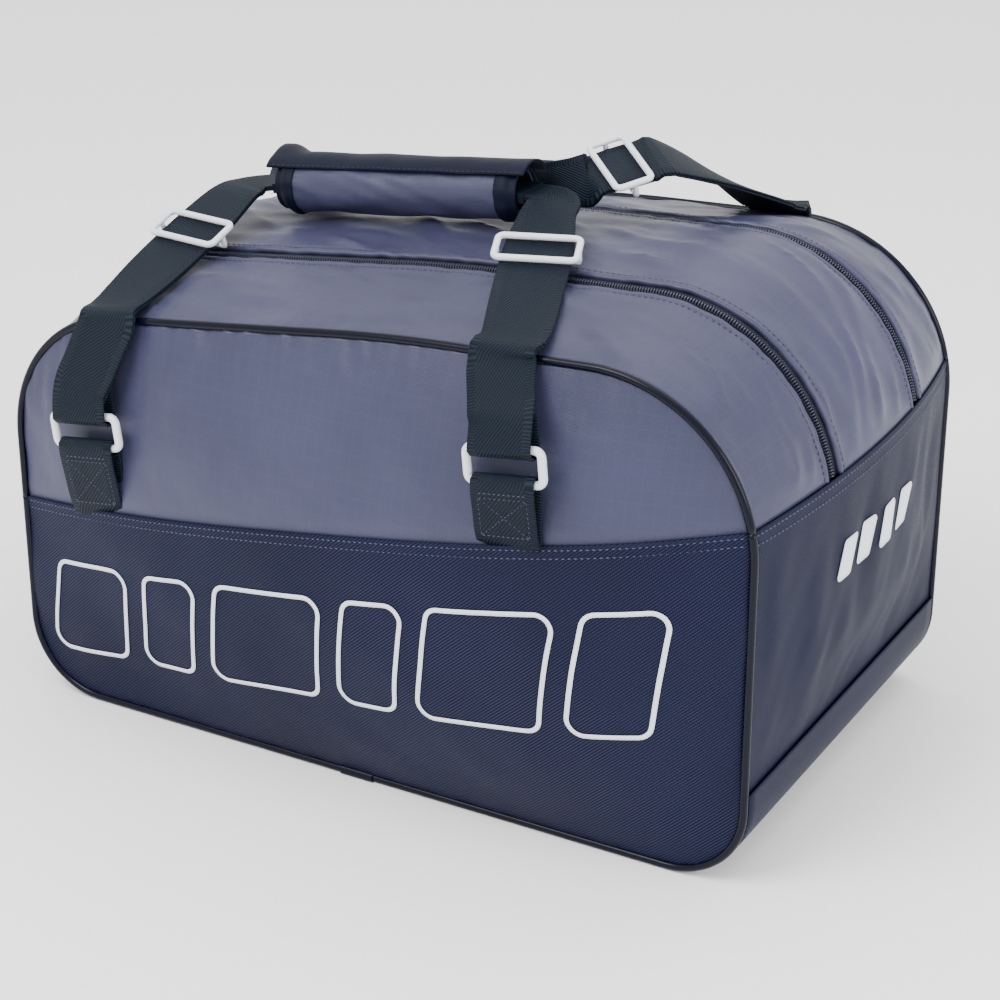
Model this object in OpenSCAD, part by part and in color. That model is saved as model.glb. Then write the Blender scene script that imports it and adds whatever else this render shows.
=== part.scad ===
// Paddle case: a wedge-shaped padel bag with two zipped compartments and two carry handles.
// X runs along the bag from the low end to the high end, Y from the front panel to the rear
// panel, Z up. The origin is on the floor, in the middle of the base. Lengths are millimetres.

/* [Bag body] */
// Length between the two ends of the front panel
bag_length = 490; // [440:5:600]
// Depth from the front piping to the rear piping
bag_depth = 280; // [240:5:340]
// Height of the top line at the low end, before its corner is rounded
low_end_height = 252; // [240:2:280]
// Height of the bend in the top line
top_bend_height = 288; // [284:1:310]
// Distance of that bend from the middle of the bag
top_bend_x = 20; // [0:2:60]
// Height of the top line at the high end, before its corner is rounded
high_end_height = 301; // [296:2:340]
// Rounding of the top corner at the low end
low_corner_r = 90; // [60:2:96]
// Rounding of the top corner at the high end
high_corner_r = 95; // [60:2:100]
// Rounding of the bend in the top line
top_bend_r = 900; // [400:50:1200]
// Rounding of the two bottom corners
base_corner_r = 47; // [30:1:56]
// Thickness of the lined fabric
fabric = 2; // [1:0.25:3]

/* [Seam and swell] */
// Height of the colour seam at the low end
seam_low = 132; // [120:1:140]
// Height of the colour seam at the high end
seam_high = 221; // [200:1:226]
// How far the stuffed front and rear panels swell outwards
panel_swell = 36; // [10:1:45]
// How much more the swell is at the high end than at the middle, as a share
swell_lean = 0.35; // [0:0.05:0.6]
// How far the top swells up between the two panels
top_crown = 22; // [10:1:30]
// How far the ends swell outwards between the two panels
end_crown = 16; // [6:1:24]
// Height at which the base panel meets the end panels
base_rise = 60; // [58:1:70]
// Gap between the closed lids and the lower bag at the seam
seam_gap = 0.8; // [0.5:0.1:2]

/* [Piping] */
// Radius of the piping
pipe_r = 2.5; // [1.5:0.25:3.5]
// Clearance between the piping and the fabric edges beside it
pipe_clearance = 0.5; // [0.3:0.1:1]
// Length of the sleeve that joins the two ends of a piping
sleeve_length = 22; // [10:1:40]
// Wall of that sleeve
sleeve_wall = 0.8; // [0.5:0.1:1.5]
// Distance of the sleeve from the middle of the bag
sleeve_x = -6; // [-60:2:60]

/* [Zips] */
// Distance of each zip behind its panel's piping
zip_setback = 80; // [60:2:92]
// Half of the opening between the fabric hems that shows the zip
hem_half = 7.5; // [6:0.5:10]
// Width of each zip tape
tape_width = 16; // [12:0.5:20]
// Thickness of the zip tape
tape = 0.8; // [0.5:0.1:1.2]
// Width of each half of the coil
coil_width = 3; // [2:0.25:4]
// Height of the coil above its tape
coil_height = 2.4; // [1.5:0.1:3]
// Half of the gap between the two halves of the closed coil
coil_gap = 0.2; // [0.1:0.05:0.4]
// Half of the gap that the slider's neck runs in, on the end stretch
neck_gap = 0.9; // [0.8:0.1:1.4]
// Length of the sewn-down end stretch of each zip, above the seam
zip_end_length = 46; // [44:1:50]
// Height of the slider's lower edge above the seam
slider_rise = 6; // [5:0.5:8]

/* [Slider] */
// Length of the slider
slider_length = 14; // [12:0.5:16]
// Half width of the slider
slider_half = 5; // [4:0.25:6]
// Thickness of the slider's plates
slider_plate = 1.2; // [0.8:0.1:1.6]
// Running clearance between the slider and the zip
slider_clearance = 0.5; // [0.3:0.1:0.8]
// Radius of the pin that the pull hangs on
pull_pin_r = 1.1; // [0.8:0.1:1.4]
// Running clearance of the pull on its pin
pin_clearance = 0.08; // [0.04:0.01:0.1]
// Length of the pull
pull_length = 46; // [30:1:50]
// Width of the pull
pull_width = 7; // [5:0.5:9]
// Thickness of the pull's metal tongue
tongue = 1.4; // [1:0.1:2]

/* [Inside] */
// Thickness of the padded divider
divider_thickness = 4; // [2:0.5:8]
// Thickness of the base board
board_thickness = 3; // [2:0.5:5]
// Clearance around the divider and the board
inside_clearance = 4; // [2:0.5:8]

/* [Webbing and buckles] */
// Width of the handle webbing
web_width = 40; // [30:1:44]
// Thickness of the doubled webbing
web = 3.2; // [2:0.2:4]
// Bar of the plastic rings and slides
bar = 5; // [4:0.25:6]
// Clearance beside the webbing in a ring
web_clearance = 1.5; // [1:0.25:3]
// Clear height of a ring
ring_gap = 14; // [13:0.5:20]
// Bar of the strap slides
slide_bar = 4; // [3:0.25:5]
// Clear length of each slot in a strap slide
slide_gap = 7; // [6:0.5:10]
// Running clearance of a strap slide on its strap
slide_clearance = 0.6; // [0.3:0.1:0.8]
// Clearance of a webbing loop around its bar
loop_clearance = 0.4; // [0.3:0.1:1]
// Gap between the straps and the bag under them
strap_clearance = 1.2; // [0.8:0.1:3]
// Distance of the low ring from the middle of the bag
low_ring_x = -175; // [-190:1:-150]
// Distance of the high ring from the middle of the bag
high_ring_x = 115; // [90:1:140]
// Height of the ring bar above the seam at the low ring
low_tab_length = 44; // [36:1:50]
// Height of the ring bar above the seam at the high ring
high_tab_length = 38; // [34:1:50]

/* [Grip] */
// Length of the padded grip, with its bindings
grip_length = 168; // [120:2:180]
// Radius of the padded grip
grip_r = 17.5; // [14:0.5:20]
// Place of the grip's middle along the bag
grip_x = -50; // [-70:2:-30]
// Width of the folded webbing inside the grip
core_width = 25; // [16:1:26]
// Thickness of the folded webbing inside the grip
core = 6; // [4:0.5:8]
// Length of each binding
binding_length = 12; // [6:1:20]
// Thickness of the bindings and of the flap
cover = 1; // [0.6:0.1:2]
// Angle that the flap covers around the grip
flap_angle = 100; // [60:5:140]
// How far the flap reaches past each end of the pad
flap_reach = 6; // [0:1:12]

/* [Motion] */
// Play between the grip and the bag that it rests on
rest_gap = 1; // [0.5:0.1:3]

/* [Hidden] */
$fn = 48;
half_l = bag_length / 2;
half_d = bag_depth / 2;
foot = pipe_r;
zip_y = -half_d + zip_setback;
bore_slip = 0.3;

// ---- Small helpers -------------------------------------------------------------------------

function unit(v) = v / norm(v);
function flip(v) = [v[0], -v[1], v[2]];
function mix(a, b, t) = a + (b - a) * t;
function clamp(t) = min(max(t, 0), 1);
function ease(t) = let (c = clamp(t)) c * c * (3 - 2 * c);

// Arc of radius r that rounds corner b of the path a, b, c, in n steps
function rounded(a, b, c, r, n) =
    let (
        u = unit(a - b),
        w = unit(c - b),
        half = acos(u * w) / 2,
        centre = b + unit(u + w) * r / sin(half),
        p = b + u * r / tan(half),
        q = b + w * r / tan(half)
    )
    [for (i = [0:n]) centre + unit(mix(p, q, i / n) - centre) * r];

// Length along a path up to each of its points
function lengths(path) =
    [for (i = 0, s = 0; i < len(path);
        s = s + (i + 1 < len(path) ? norm(path[i + 1] - path[i]) : 0), i = i + 1) s];

// Path resampled in n equal steps, from length t0 to length t1
function resample(path, n, t0 = 0, t1 = undef) =
    let (
        s = lengths(path),
        last = is_undef(t1) ? s[len(s) - 1] : t1,
        xs = [for (i = [0:len(path) - 1]) [s[i], path[i][0]]],
        zs = [for (i = [0:len(path) - 1]) [s[i], path[i][1]]]
    )
    [for (k = [0:n]) let (t = mix(t0, last, k / n)) [lookup(t, xs), lookup(t, zs)]];

function path_length(path) = let (s = lengths(path)) s[len(s) - 1];

// Points of a path at given lengths along it
function at_lengths(path, marks) =
    let (
        s = lengths(path),
        xs = [for (i = [0:len(path) - 1]) [s[i], path[i][0]]],
        zs = [for (i = [0:len(path) - 1]) [s[i], path[i][1]]]
    )
    [for (t = marks) [lookup(t, xs), lookup(t, zs)]];

// Outward normals of a clockwise path in the X-Z plane
function normals(path) =
    [for (i = [0:len(path) - 1])
        let (t = unit(path[min(i + 1, len(path) - 1)] - path[max(i - 1, 0)]))
        [-t[1], t[0]]];

// ---- Outline of the front panel, as [x, z] --------------------------------------------------

base_left = [-half_l, foot];
base_right = [half_l, foot];
top_left = [-half_l, low_end_height];
top_mid = [top_bend_x, top_bend_height];
top_right = [half_l, high_end_height];
outline = concat(
    [[0, foot]],
    rounded([0, foot], base_left, top_left, base_corner_r, 8),
    rounded(base_left, top_left, top_mid, low_corner_r, 14),
    rounded(top_left, top_mid, top_right, top_bend_r, 6),
    rounded(top_mid, top_right, base_right, high_corner_r, 14),
    rounded(top_right, base_right, [0, foot], base_corner_r, 8)
);

// Height of the colour seam along the bag
function seam_z(x) = mix(seam_low, seam_high, (x + half_l) / bag_length);
function above(p) = p[1] - seam_z(p[0]);
function cut(p, q) = mix(p, q, above(p) / (above(p) - above(q)));
ups = [for (i = [0:len(outline) - 1]) if (above(outline[i]) > 0) i];
first_up = ups[0];
last_up = ups[len(ups) - 1];
seam_left = cut(outline[first_up - 1], outline[first_up]);
seam_right = cut(outline[last_up], outline[last_up + 1]);
upper = concat([seam_left], [for (i = ups) outline[i]], [seam_right]);
lower = concat(
    [seam_right],
    [for (i = [last_up + 1:len(outline) - 1]) outline[i]],
    [for (i = [0:first_up - 1]) outline[i]],
    [seam_left]
);
upper_length = path_length(upper);
lower_line = resample(lower, 44);

// Line over the top, shared by the gussets, the zips and the upper edges so that they lie parallel:
// a seam gap, the stretch where the zip is sewn down, a gap, the stretch that opens, and a seam gap
end_steps = 2;
open_steps = 42;
open_start = zip_end_length + seam_gap;
top_line = at_lengths(upper, concat(
    [0],
    [for (i = [0:end_steps]) mix(seam_gap, zip_end_length, i / end_steps)],
    [for (i = [0:open_steps]) mix(open_start, upper_length - seam_gap, i / open_steps)],
    [upper_length]
));
top_last = len(top_line) - 1;
end_last = end_steps + 1;
upper_line = [for (i = [1:top_last - 1]) top_line[i]];

// Top and bottom edges of the outline as tables over x
top_table = [for (p = upper) if (p[1] > low_end_height / 2) p];
function top_z(x) = lookup(x, [for (p = top_table) [p[0] + p[1] / 1e6, p[1]]]);
low_points = [for (i = [len(lower) - 1:-1:0]) if (lower[i][1] < base_corner_r + foot + 0.01) lower[i]];
function low_z(x) = lookup(x, [for (p = low_points) [p[0], p[1]]]);

// How far the front panel swells out at a place on it
function swell(x, z) =
    let (
        u = clamp(abs(x) / half_l),
        mid = (top_z(x) + low_z(x)) / 2,
        half = (top_z(x) - low_z(x)) / 2,
        v = clamp(abs(z - mid) / half)
    )
    panel_swell * (1 + swell_lean * x / half_l) * (1 - pow(u, 3)) * (1 - v * v);

// How far the bag swells out along the outline's normal n at the outline point p
function crown(p, n) =
    end_crown * n[0] * n[0] * ease((p[1] - base_rise) / (seam_low - base_rise - 4))
    + top_crown * pow(max(n[1], 0), 2);
function crown_share(y) = 1 - pow(y / half_d, 2);

// Point of the bag's skin at depth y, lifted off it by lift
function skin(p, n, y, lift) =
    let (c = crown(p, n) * crown_share(y) + lift)
    [p[0] + n[0] * c, y, p[1] + n[1] * c];

// Height of the bag's top at a place seen from above
function roof_z(x, y) = top_z(x) + top_crown * crown_share(y);

// ---- Solids built from rows of points --------------------------------------------------------

// Closed sheet between the outer rows a and the inner rows b
module sheet(a, b) {
    rows = len(a);
    cols = len(a[0]);
    inner = rows * cols;
    points = concat([for (row = a) each row], [for (row = b) each row]);
    faces = concat(
        [for (j = [0:rows - 2], i = [0:cols - 2]) each
            let (p = j * cols + i, q = p + cols)
            [[p, q, q + 1], [p, q + 1, p + 1],
             [p + inner, q + 1 + inner, q + inner], [p + inner, p + 1 + inner, q + 1 + inner]]],
        [for (i = [0:cols - 2]) each
            let (p = i, q = (rows - 1) * cols + i)
            [[p + inner, p, p + 1], [p + inner, p + 1, p + 1 + inner],
             [q, q + inner, q + 1], [q + inner, q + 1 + inner, q + 1]]],
        [for (j = [0:rows - 2]) each
            let (p = j * cols, q = j * cols + cols - 1)
            [[p, p + inner, p + cols], [p + inner, p + cols + inner, p + cols],
             [q + inner, q, q + cols], [q + inner, q + cols, q + cols + inner]]]
    );
    polyhedron(points = points, faces = faces);
}

// Strip of the bag's skin along a path, from depth y0 to depth y1
module strip(path, y0, y1, rows, lift, thickness, first = 0, last = undef) {
    n = normals(path);
    end = is_undef(last) ? len(path) - 1 : last;
    sheet(
        [for (j = [0:rows]) [for (i = [first:end])
            skin(path[i], n[i], mix(y0, y1, j / rows), lift)]],
        [for (j = [0:rows]) [for (i = [first:end])
            skin(path[i], n[i], mix(y0, y1, j / rows), lift - thickness)]]
    );
}

// Swollen panel inside a closed clockwise loop, with its outer face towards -Y
module panel(loop, rings) {
    n = len(loop);
    centre = [for (k = [0:1]) mix(min([for (p = loop) p[k]]), max([for (p = loop) p[k]]), 0.5)];
    flat = concat([centre], [for (j = [1:rings]) each [for (p = loop) mix(centre, p, j / rings)]]);
    outer = [for (p = flat) [p[0], -half_d - swell(p[0], p[1]), p[1]]];
    back = len(flat);
    inner = [for (p = outer) p + [0, fabric, 0]];
    faces = concat(
        [for (i = [0:n - 1]) each
            let (a = 1 + i, b = 1 + (i + 1) % n)
            [[0, a, b], [back, b + back, a + back]]],
        [for (j = [0:rings - 2], i = [0:n - 1]) each
            let (a = 1 + j * n + i, b = 1 + j * n + (i + 1) % n, c = a + n, d = b + n)
            [[a, c, d], [a, d, b], [a + back, d + back, c + back], [a + back, b + back, d + back]]],
        [for (i = [0:n - 1]) each
            let (a = 1 + (rings - 1) * n + i, b = 1 + (rings - 1) * n + (i + 1) % n)
            [[a, a + back, b + back], [a, b + back, b]]]
    );
    polyhedron(points = concat(outer, inner), faces = faces);
}

// Eight-sided tube along a path in the plane of the front edge
module edge_tube(path, r) {
    n = normals(path);
    sides = 8;
    last = (len(path) - 1) * sides;
    points = [for (i = [0:len(path) - 1], k = [0:sides - 1])
        let (a = 360 * k / sides)
        [path[i][0] + n[i][0] * r * cos(a), -half_d + r * sin(a), path[i][1] + n[i][1] * r * cos(a)]];
    polyhedron(points = points, faces = concat(
        [[for (k = [sides - 1:-1:0]) k]],
        [[for (k = [0:sides - 1]) last + k]],
        [for (i = [0:len(path) - 2], k = [0:sides - 1]) each
            let (a = i * sides + k, b = i * sides + (k + 1) % sides)
            [[a, b, b + sides], [a, b + sides, a + sides]]]
    ));
}

// Smooth curve through hand-set points
function spline(points, steps) =
    let (last = len(points) - 1)
    concat([for (i = [0:last - 1], k = [0:steps - 1])
        let (
            t = k / steps,
            a = points[max(i - 1, 0)],
            b = points[i],
            c = points[i + 1],
            d = points[min(i + 2, last)]
        )
        b + (c - a) * t / 2 + (a * 2 - b * 5 + c * 4 - d) * t * t / 2
            + (b * 3 - a - c * 3 + d) * t * t * t / 2],
        [points[last]]);

// Flat webbing along a route of [point, direction of its width, width]
module webbing(route, steps, thickness) {
    p = spline([for (r = route) r[0]], steps);
    across = spline([for (r = route) r[1]], steps);
    width = spline([for (r = route) r[2]], steps);
    last = len(p) - 1;
    frames = [for (i = [0:last])
        let (
            t = unit(p[min(i + 1, last)] - p[max(i - 1, 0)]),
            w = unit(across[i] - t * (across[i] * t))
        )
        [w * width[i] / 2, cross(t, w) * thickness / 2]];
    sheet(
        [for (side = [-1, 1]) [for (i = [0:last]) p[i] + frames[i][0] * side + frames[i][1]]],
        [for (side = [-1, 1]) [for (i = [0:last]) p[i] + frames[i][0] * side - frames[i][1]]]
    );
}

// Places its children with their x, y and z axes along three given directions
module along(x, y, z, at) {
    multmatrix([
        [x[0], y[0], z[0], at[0]],
        [x[1], y[1], z[1], at[1]],
        [x[2], y[2], z[2], at[2]],
        [0, 0, 0, 1]
    ])
    children();
}

// Rectangle with round corners
module rounded_box(w, h, r) {
    square([w, h - 2 * r], center = true);
    square([w - 2 * r, h], center = true);
    for (x = [-1, 1], y = [-1, 1]) translate([x * (w / 2 - r), y * (h / 2 - r)]) circle(r);
}

// ---- Lower bag -------------------------------------------------------------------------------

inset = pipe_r + pipe_clearance;
edge_y = half_d - inset;
seam_steps = 16;
function inset_line(path, by) = let (n = normals(path)) [for (i = [0:len(path) - 1]) path[i] - n[i] * by];
upper_inner = inset_line(upper_line, inset);
lower_inner = inset_line(lower_line, inset);
// Points of the seam between two ends, without the ends
function seam_between(a, b) = [for (i = [1:seam_steps - 1]) mix(a, b, i / seam_steps)];
function ends(path) = [path[0], path[len(path) - 1]];
upper_loop = concat(upper_inner, seam_between(ends(upper_inner)[1], ends(upper_inner)[0]));
lower_loop = concat(lower_inner, seam_between(ends(lower_inner)[1], ends(lower_inner)[0]));

module front_panel_lower() {
    color("#2b3050") panel(lower_loop, 6);
}

module rear_panel_lower() {
    color("#2b3050") mirror([0, 1, 0]) panel(lower_loop, 6);
}

// Outline of the base from one end seam to the other
base_line = concat(
    [[half_l, base_rise]],
    [for (i = [len(outline) - 9:len(outline) - 1]) outline[i]],
    [for (i = [1:9]) outline[i]],
    [[-half_l, base_rise]]
);

module base_panel() {
    n = normals(base_line);
    last = len(base_line) - 1;
    out = [for (i = [0:last]) base_line[i] + n[i] * foot];
    in = [for (i = [last:-1:0]) base_line[i] + n[i] * (foot - fabric)];
    color("#2b3050")
    rotate([90, 0, 0])
    translate([0, 0, -edge_y])
    linear_extrude(2 * edge_y)
    polygon(concat(out, in));
}

// Skin of an end, from the base panel up to the seam
end_right = concat(
    [for (p = lower) if (p[0] > 0 && p[1] > base_rise + seam_gap) p],
    [[half_l, base_rise + seam_gap]]
);
end_left = concat(
    [[-half_l, base_rise + seam_gap]],
    [for (p = lower) if (p[0] < 0 && p[1] > base_rise + seam_gap) p]
);

module end_panel_right() {
    color("#4a4f66") strip(resample(end_right, 10), -edge_y, edge_y, 8, 0, fabric);
}

module end_panel_left() {
    color("#4a4f66") strip(resample(end_left, 8), -edge_y, edge_y, 8, 0, fabric);
}

module front_piping_lower() {
    color("#1d2340") edge_tube(lower_line, pipe_r);
}

module rear_piping_lower() {
    color("#1d2340") mirror([0, 1, 0]) edge_tube(lower_line, pipe_r);
}

sleeve_r = pipe_r + 0.05;

module sleeve(side) {
    // The sleeve leaves its underside open for the bag to rest on the piping, and its top for the panel
    color("#1d2340")
    translate([sleeve_x - sleeve_length / 2, side * half_d, foot])
    rotate([90, 0, 90])
    linear_extrude(sleeve_length)
    difference() {
        circle(sleeve_r + sleeve_wall);
        circle(sleeve_r);
        translate([-2 * sleeve_r, -3 * sleeve_r]) square([4 * sleeve_r, 2.2 * sleeve_r]);
        translate([-2 * sleeve_r, inset - pipe_clearance / 2]) square(4 * sleeve_r);
        translate([side > 0 ? -4 * sleeve_r : 0, -2 * sleeve_r]) square([4 * sleeve_r, 4 * sleeve_r]);
    }
}

module front_piping_sleeve() {
    sleeve(-1);
}

module rear_piping_sleeve() {
    sleeve(1);
}

module base_board() {
    color("#3a3f4a")
    translate([0, 0, fabric])
    linear_extrude(board_thickness)
    square([2 * (half_l - base_corner_r), 2 * (edge_y - inside_clearance)], center = true);
}

module divider() {
    top = inset_line(resample(upper, 30), fabric + inside_clearance);
    bottom = inset_line(resample(lower, 30), fabric + inside_clearance);
    rim = concat(top, [for (i = [1:len(bottom) - 2]) bottom[i]]);
    color("#39405c")
    translate([0, divider_thickness / 2, 0])
    rotate([90, 0, 0])
    linear_extrude(divider_thickness)
    intersection() {
        polygon(rim);
        translate([-half_l, fabric + board_thickness]) square([bag_length, high_end_height]);
    }
}

module center_gusset() {
    reach = -zip_y - hem_half;
    color("#6f7488") strip(top_line, -reach, reach, 5, 0, fabric);
}

// ---- Zips ------------------------------------------------------------------------------------

under = 0.25;
tape_top = -fabric - under;

// One half of a zip tape and of its coil, on part of the top line; side is -1 for the lid's half
// and 1 for the bag's
module zip_tape(first, last, side, gap) {
    a = zip_y + side * gap;
    b = zip_y + side * tape_width;
    strip(top_line, min(a, b), max(a, b), 1, tape_top, tape, first, last);
}

module zip_coil(first, last, side, gap) {
    a = zip_y + side * gap;
    b = zip_y + side * (coil_gap + coil_width);
    strip(top_line, min(a, b), max(a, b), 1, tape_top + coil_height, coil_height, first, last);
}

module zip_tape_bag() {
    color("#232843") {
        zip_tape(0, end_last, -1, neck_gap);
        zip_tape(0, top_last, 1, neck_gap);
    }
}

module zip_coil_bag() {
    color("#7d8398") {
        zip_coil(0, end_last, -1, neck_gap);
        zip_coil(0, end_last, 1, neck_gap);
        zip_coil(end_last, top_last, 1, coil_gap);
    }
}

module zip_tape_lid() {
    color("#232843") zip_tape(end_last + 1, top_last - 1, -1, coil_gap);
}

module zip_coil_lid() {
    color("#7d8398") zip_coil(end_last + 1, top_last - 1, -1, coil_gap);
}

module front_zip_tape_bag() zip_tape_bag();
module front_zip_coil_bag() zip_coil_bag();
module front_zip_tape_lid() zip_tape_lid();
module front_zip_coil_lid() zip_coil_lid();
module rear_zip_tape_bag() mirror([0, 1, 0]) zip_tape_bag();
module rear_zip_coil_bag() mirror([0, 1, 0]) zip_coil_bag();
module rear_zip_tape_lid() mirror([0, 1, 0]) zip_tape_lid();
module rear_zip_coil_lid() mirror([0, 1, 0]) zip_coil_lid();

// ---- Lids ------------------------------------------------------------------------------------

module panel_upper() {
    color("#6f7488") panel(upper_loop, 6);
}

module gusset_strip() {
    color("#6f7488") strip(top_line, -edge_y, zip_y - hem_half, 3, 0, fabric, 1, top_last - 1);
}

module piping_upper() {
    color("#1d2340") edge_tube(upper_line, pipe_r);
}

module front_panel_upper() panel_upper();
module front_gusset_strip() gusset_strip();
module front_piping_upper() piping_upper();
module rear_panel_upper() mirror([0, 1, 0]) panel_upper();
module rear_gusset_strip() mirror([0, 1, 0]) gusset_strip();
module rear_piping_upper() mirror([0, 1, 0]) piping_upper();

// ---- Rings and anchor tabs -------------------------------------------------------------------

loop_in = bar / sqrt(2) + loop_clearance;
loop_out = loop_in + web / 2;
bar_stand = loop_out + strap_clearance;
low_bar_z = seam_z(low_ring_x) + low_tab_length;
high_bar_z = seam_z(high_ring_x) + high_tab_length;
// The tab lies on the swell between the seam and the bar, so the bar clears the higher of the two
function bar_point(x, z, length) =
    [x, -half_d - max(swell(x, z), swell(x, z - length / 2)) - bar_stand, z];
low_bar = bar_point(low_ring_x, low_bar_z, low_tab_length);
high_bar = bar_point(high_ring_x, high_bar_z, high_tab_length);
bar_dir = unit(high_bar - low_bar);

// Direction from the seam up to a bar, square to the bar
function tab_up(at) =
    let (
        foot_x = at[0],
        foot_z = seam_z(at[0]),
        foot_point = [foot_x, -half_d - swell(foot_x, foot_z) - bar_stand, foot_z],
        v = at - foot_point
    )
    unit(v - bar_dir * (v * bar_dir));

ring_w = web_width + 2 * web_clearance + 2 * bar;
ring_h = ring_gap + 2 * bar;

module ring_at(at) {
    up = tab_up(at);
    out = cross(up, bar_dir);
    color("white")
    along(bar_dir, up, -out, at)
    translate([0, ring_h / 2 - bar / 2, -bar / 2])
    linear_extrude(bar)
    difference() {
        rounded_box(ring_w, ring_h, bar);
        square([web_width + 2 * web_clearance, ring_gap], center = true);
    }
}

// Webbing tab sewn at the seam and looped around a ring's bar
module anchor_tab(at, length) {
    up = tab_up(at);
    out = cross(up, bar_dir);
    slope = (seam_high - seam_low) / bag_length;
    drop = web_width / 2 * abs(slope) + seam_gap;
    color("#1f2c44")
    along(out, up, bar_dir, at)
    translate([0, 0, -web_width / 2])
    linear_extrude(web_width)
    difference() {
        union() {
            circle(loop_out);
            translate([-loop_out, -length + drop]) square([web, length - drop]);
        }
        circle(loop_in);
    }
}

module ring_low() ring_at(low_bar);
module ring_high() ring_at(high_bar);
module tab_low() anchor_tab(low_bar, low_tab_length);
module tab_high() anchor_tab(high_bar, high_tab_length);
module front_ring_left() ring_low();
module front_ring_right() ring_high();
module front_anchor_tab_left() tab_low();
module front_anchor_tab_right() tab_high();
module rear_ring_left() mirror([0, 1, 0]) ring_low();
module rear_ring_right() mirror([0, 1, 0]) ring_high();
module rear_anchor_tab_left() mirror([0, 1, 0]) tab_low();
module rear_anchor_tab_right() mirror([0, 1, 0]) tab_high();

// ---- Grip ------------------------------------------------------------------------------------

grip_slope = (roof_z(grip_x + grip_length / 2, 0) - roof_z(grip_x - grip_length / 2, 0)) / grip_length;
grip_dir = unit([1, 0, grip_slope]);
grip_up = unit([-grip_slope, 0, 1]);
flap_r = grip_r + 2 * (cover + under);
// The grip rests on the top over its whole length
grip_rise = max([for (k = [-4:4])
    let (x = grip_x + k * grip_length / 8)
    roof_z(x, 0) - roof_z(grip_x, 0) - grip_slope * (x - grip_x)]);
grip_mid = [grip_x, 0, roof_z(grip_x, 0)] + grip_up * (grip_rise + flap_r + rest_gap);

// Places its children with z along the grip and y up
module on_grip(from) {
    along([0, 1, 0], grip_up, grip_dir, grip_mid + grip_dir * from) children();
}

module grip_core() {
    color("#1f2c44")
    on_grip(-core_reach)
    translate([-core_width / 2, -core / 2])
    cube([core_width, core, 2 * core_reach]);
}

module grip_pad() {
    color("#6f7488")
    on_grip(-grip_length / 2)
    linear_extrude(grip_length)
    difference() {
        circle(grip_r);
        square([core_width + bore_slip, core + bore_slip], center = true);
    }
}

module grip_binding(from) {
    color("#1d2340")
    on_grip(from)
    linear_extrude(binding_length)
    difference() {
        circle(grip_r + under + cover);
        circle(grip_r + under);
    }
}

module grip_binding_left() {
    grip_binding(-grip_length / 2);
}

module grip_binding_right() {
    grip_binding(grip_length / 2 - binding_length);
}

// Part of a sleeve around the grip, over the given angle about the top
module grip_arc(r, angle, from, length) {
    on_grip(from)
    rotate([0, 0, 90 - angle / 2])
    rotate_extrude(angle = angle)
    translate([r, 0])
    square([cover, length]);
}

module grip_flap() {
    color("#1d2340")
    grip_arc(flap_r - cover, flap_angle, -grip_length / 2 - flap_reach, grip_length + 2 * flap_reach);
}

module grip_fastener_strip() {
    color("#14182a")
    grip_arc(grip_r + under, flap_angle / 3, binding_length + 0.5 - grip_length / 2,
        grip_length - 2 * binding_length - 1);
}

// ---- Handle straps ---------------------------------------------------------------------------

// Each strap runs from its ring up the panel, over the edge and straight on to the grip. The
// ends of the two straps of a handle are folded narrow to enter the grip, or to pass behind it.
strap_stand = strap_clearance + web / 2;
edge_slack = 1.8;
edge_stand = pipe_r + strap_stand + edge_slack;
roof_stand = strap_stand + 2.5;
roof_y = half_d - 10;
// Where the straps cross the bag's top edge
low_edge_x = low_ring_x + 7;
high_edge_x = high_ring_x - 19;
rear_high_edge_x = high_ring_x + 13;
edge_turns = [0, 40, 75];
slope_step = 12;
// Start of a strap above its ring, and its first stretch square to the ring
strap_foot = ring_gap + bar + loop_in + 0.6;
square_stretch = 11;
// How far the core reaches past the grip, and the gap between its end and a strap's
core_past = 4;
core_gap = 1;
core_reach = grip_length / 2 + core_past;
core_side = grip_r + cover + rest_gap + core / 2 + core_gap;
// Length in which a strap is folded narrow, and the part of it that is straight
fold_length = 9;
fold_end = 3.5;
// Where the straps' straight stretches end in front of the grip
aim_out = 20;
aim_side = 17;
rear_aim_side = core_side + 22;

// Direction of the bag's top edge at a place along it
function edge_dir(x) = unit([2 * slope_step, 0, top_z(x + slope_step) - top_z(x - slope_step)]);
// Way out of the bag over its front edge, at an angle from straight ahead
function edge_out(x, angle) =
    let (n = cross(edge_dir(x), [0, 1, 0])) [n[0] * sin(angle), -cos(angle), n[2] * sin(angle)];
function over_edge(x, angle) =
    [x, -half_d, top_z(x)] + edge_out(x, angle) * edge_stand;
function on_roof(x) = [x, -roof_y, roof_z(x, roof_y)] + edge_out(x, 90) * roof_stand;

// Route from a ring to the top of the bag
function strap_start(at, edge_x) =
    let (
        up = tab_up(at),
        start = at + up * strap_foot + [0, bar_stand - strap_stand - web, 0],
        straight = start + up * square_stretch
    )
    concat(
        [[start, -bar_dir, web_width], [straight, -bar_dir, web_width]],
        [for (t = [0.35, 0.7])
            [mix(straight, over_edge(edge_x, 0), t), -unit(mix(bar_dir, edge_dir(edge_x), t)), web_width]],
        [for (a = edge_turns) [over_edge(edge_x, a), -edge_dir(edge_x), web_width]],
        [[on_roof(edge_x), -edge_dir(edge_x), web_width]]
    );

low_start = strap_start(low_bar, low_edge_x);
high_start = strap_start(high_bar, high_edge_x);
start_last = len(low_start) - 1;
core_end_left = grip_mid - grip_dir * core_reach;
core_end_right = grip_mid + grip_dir * core_reach;
front_low_aim = core_end_left + [-aim_out, -aim_side, -1];
front_high_aim = core_end_right + [aim_out, -aim_side, -1];

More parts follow.
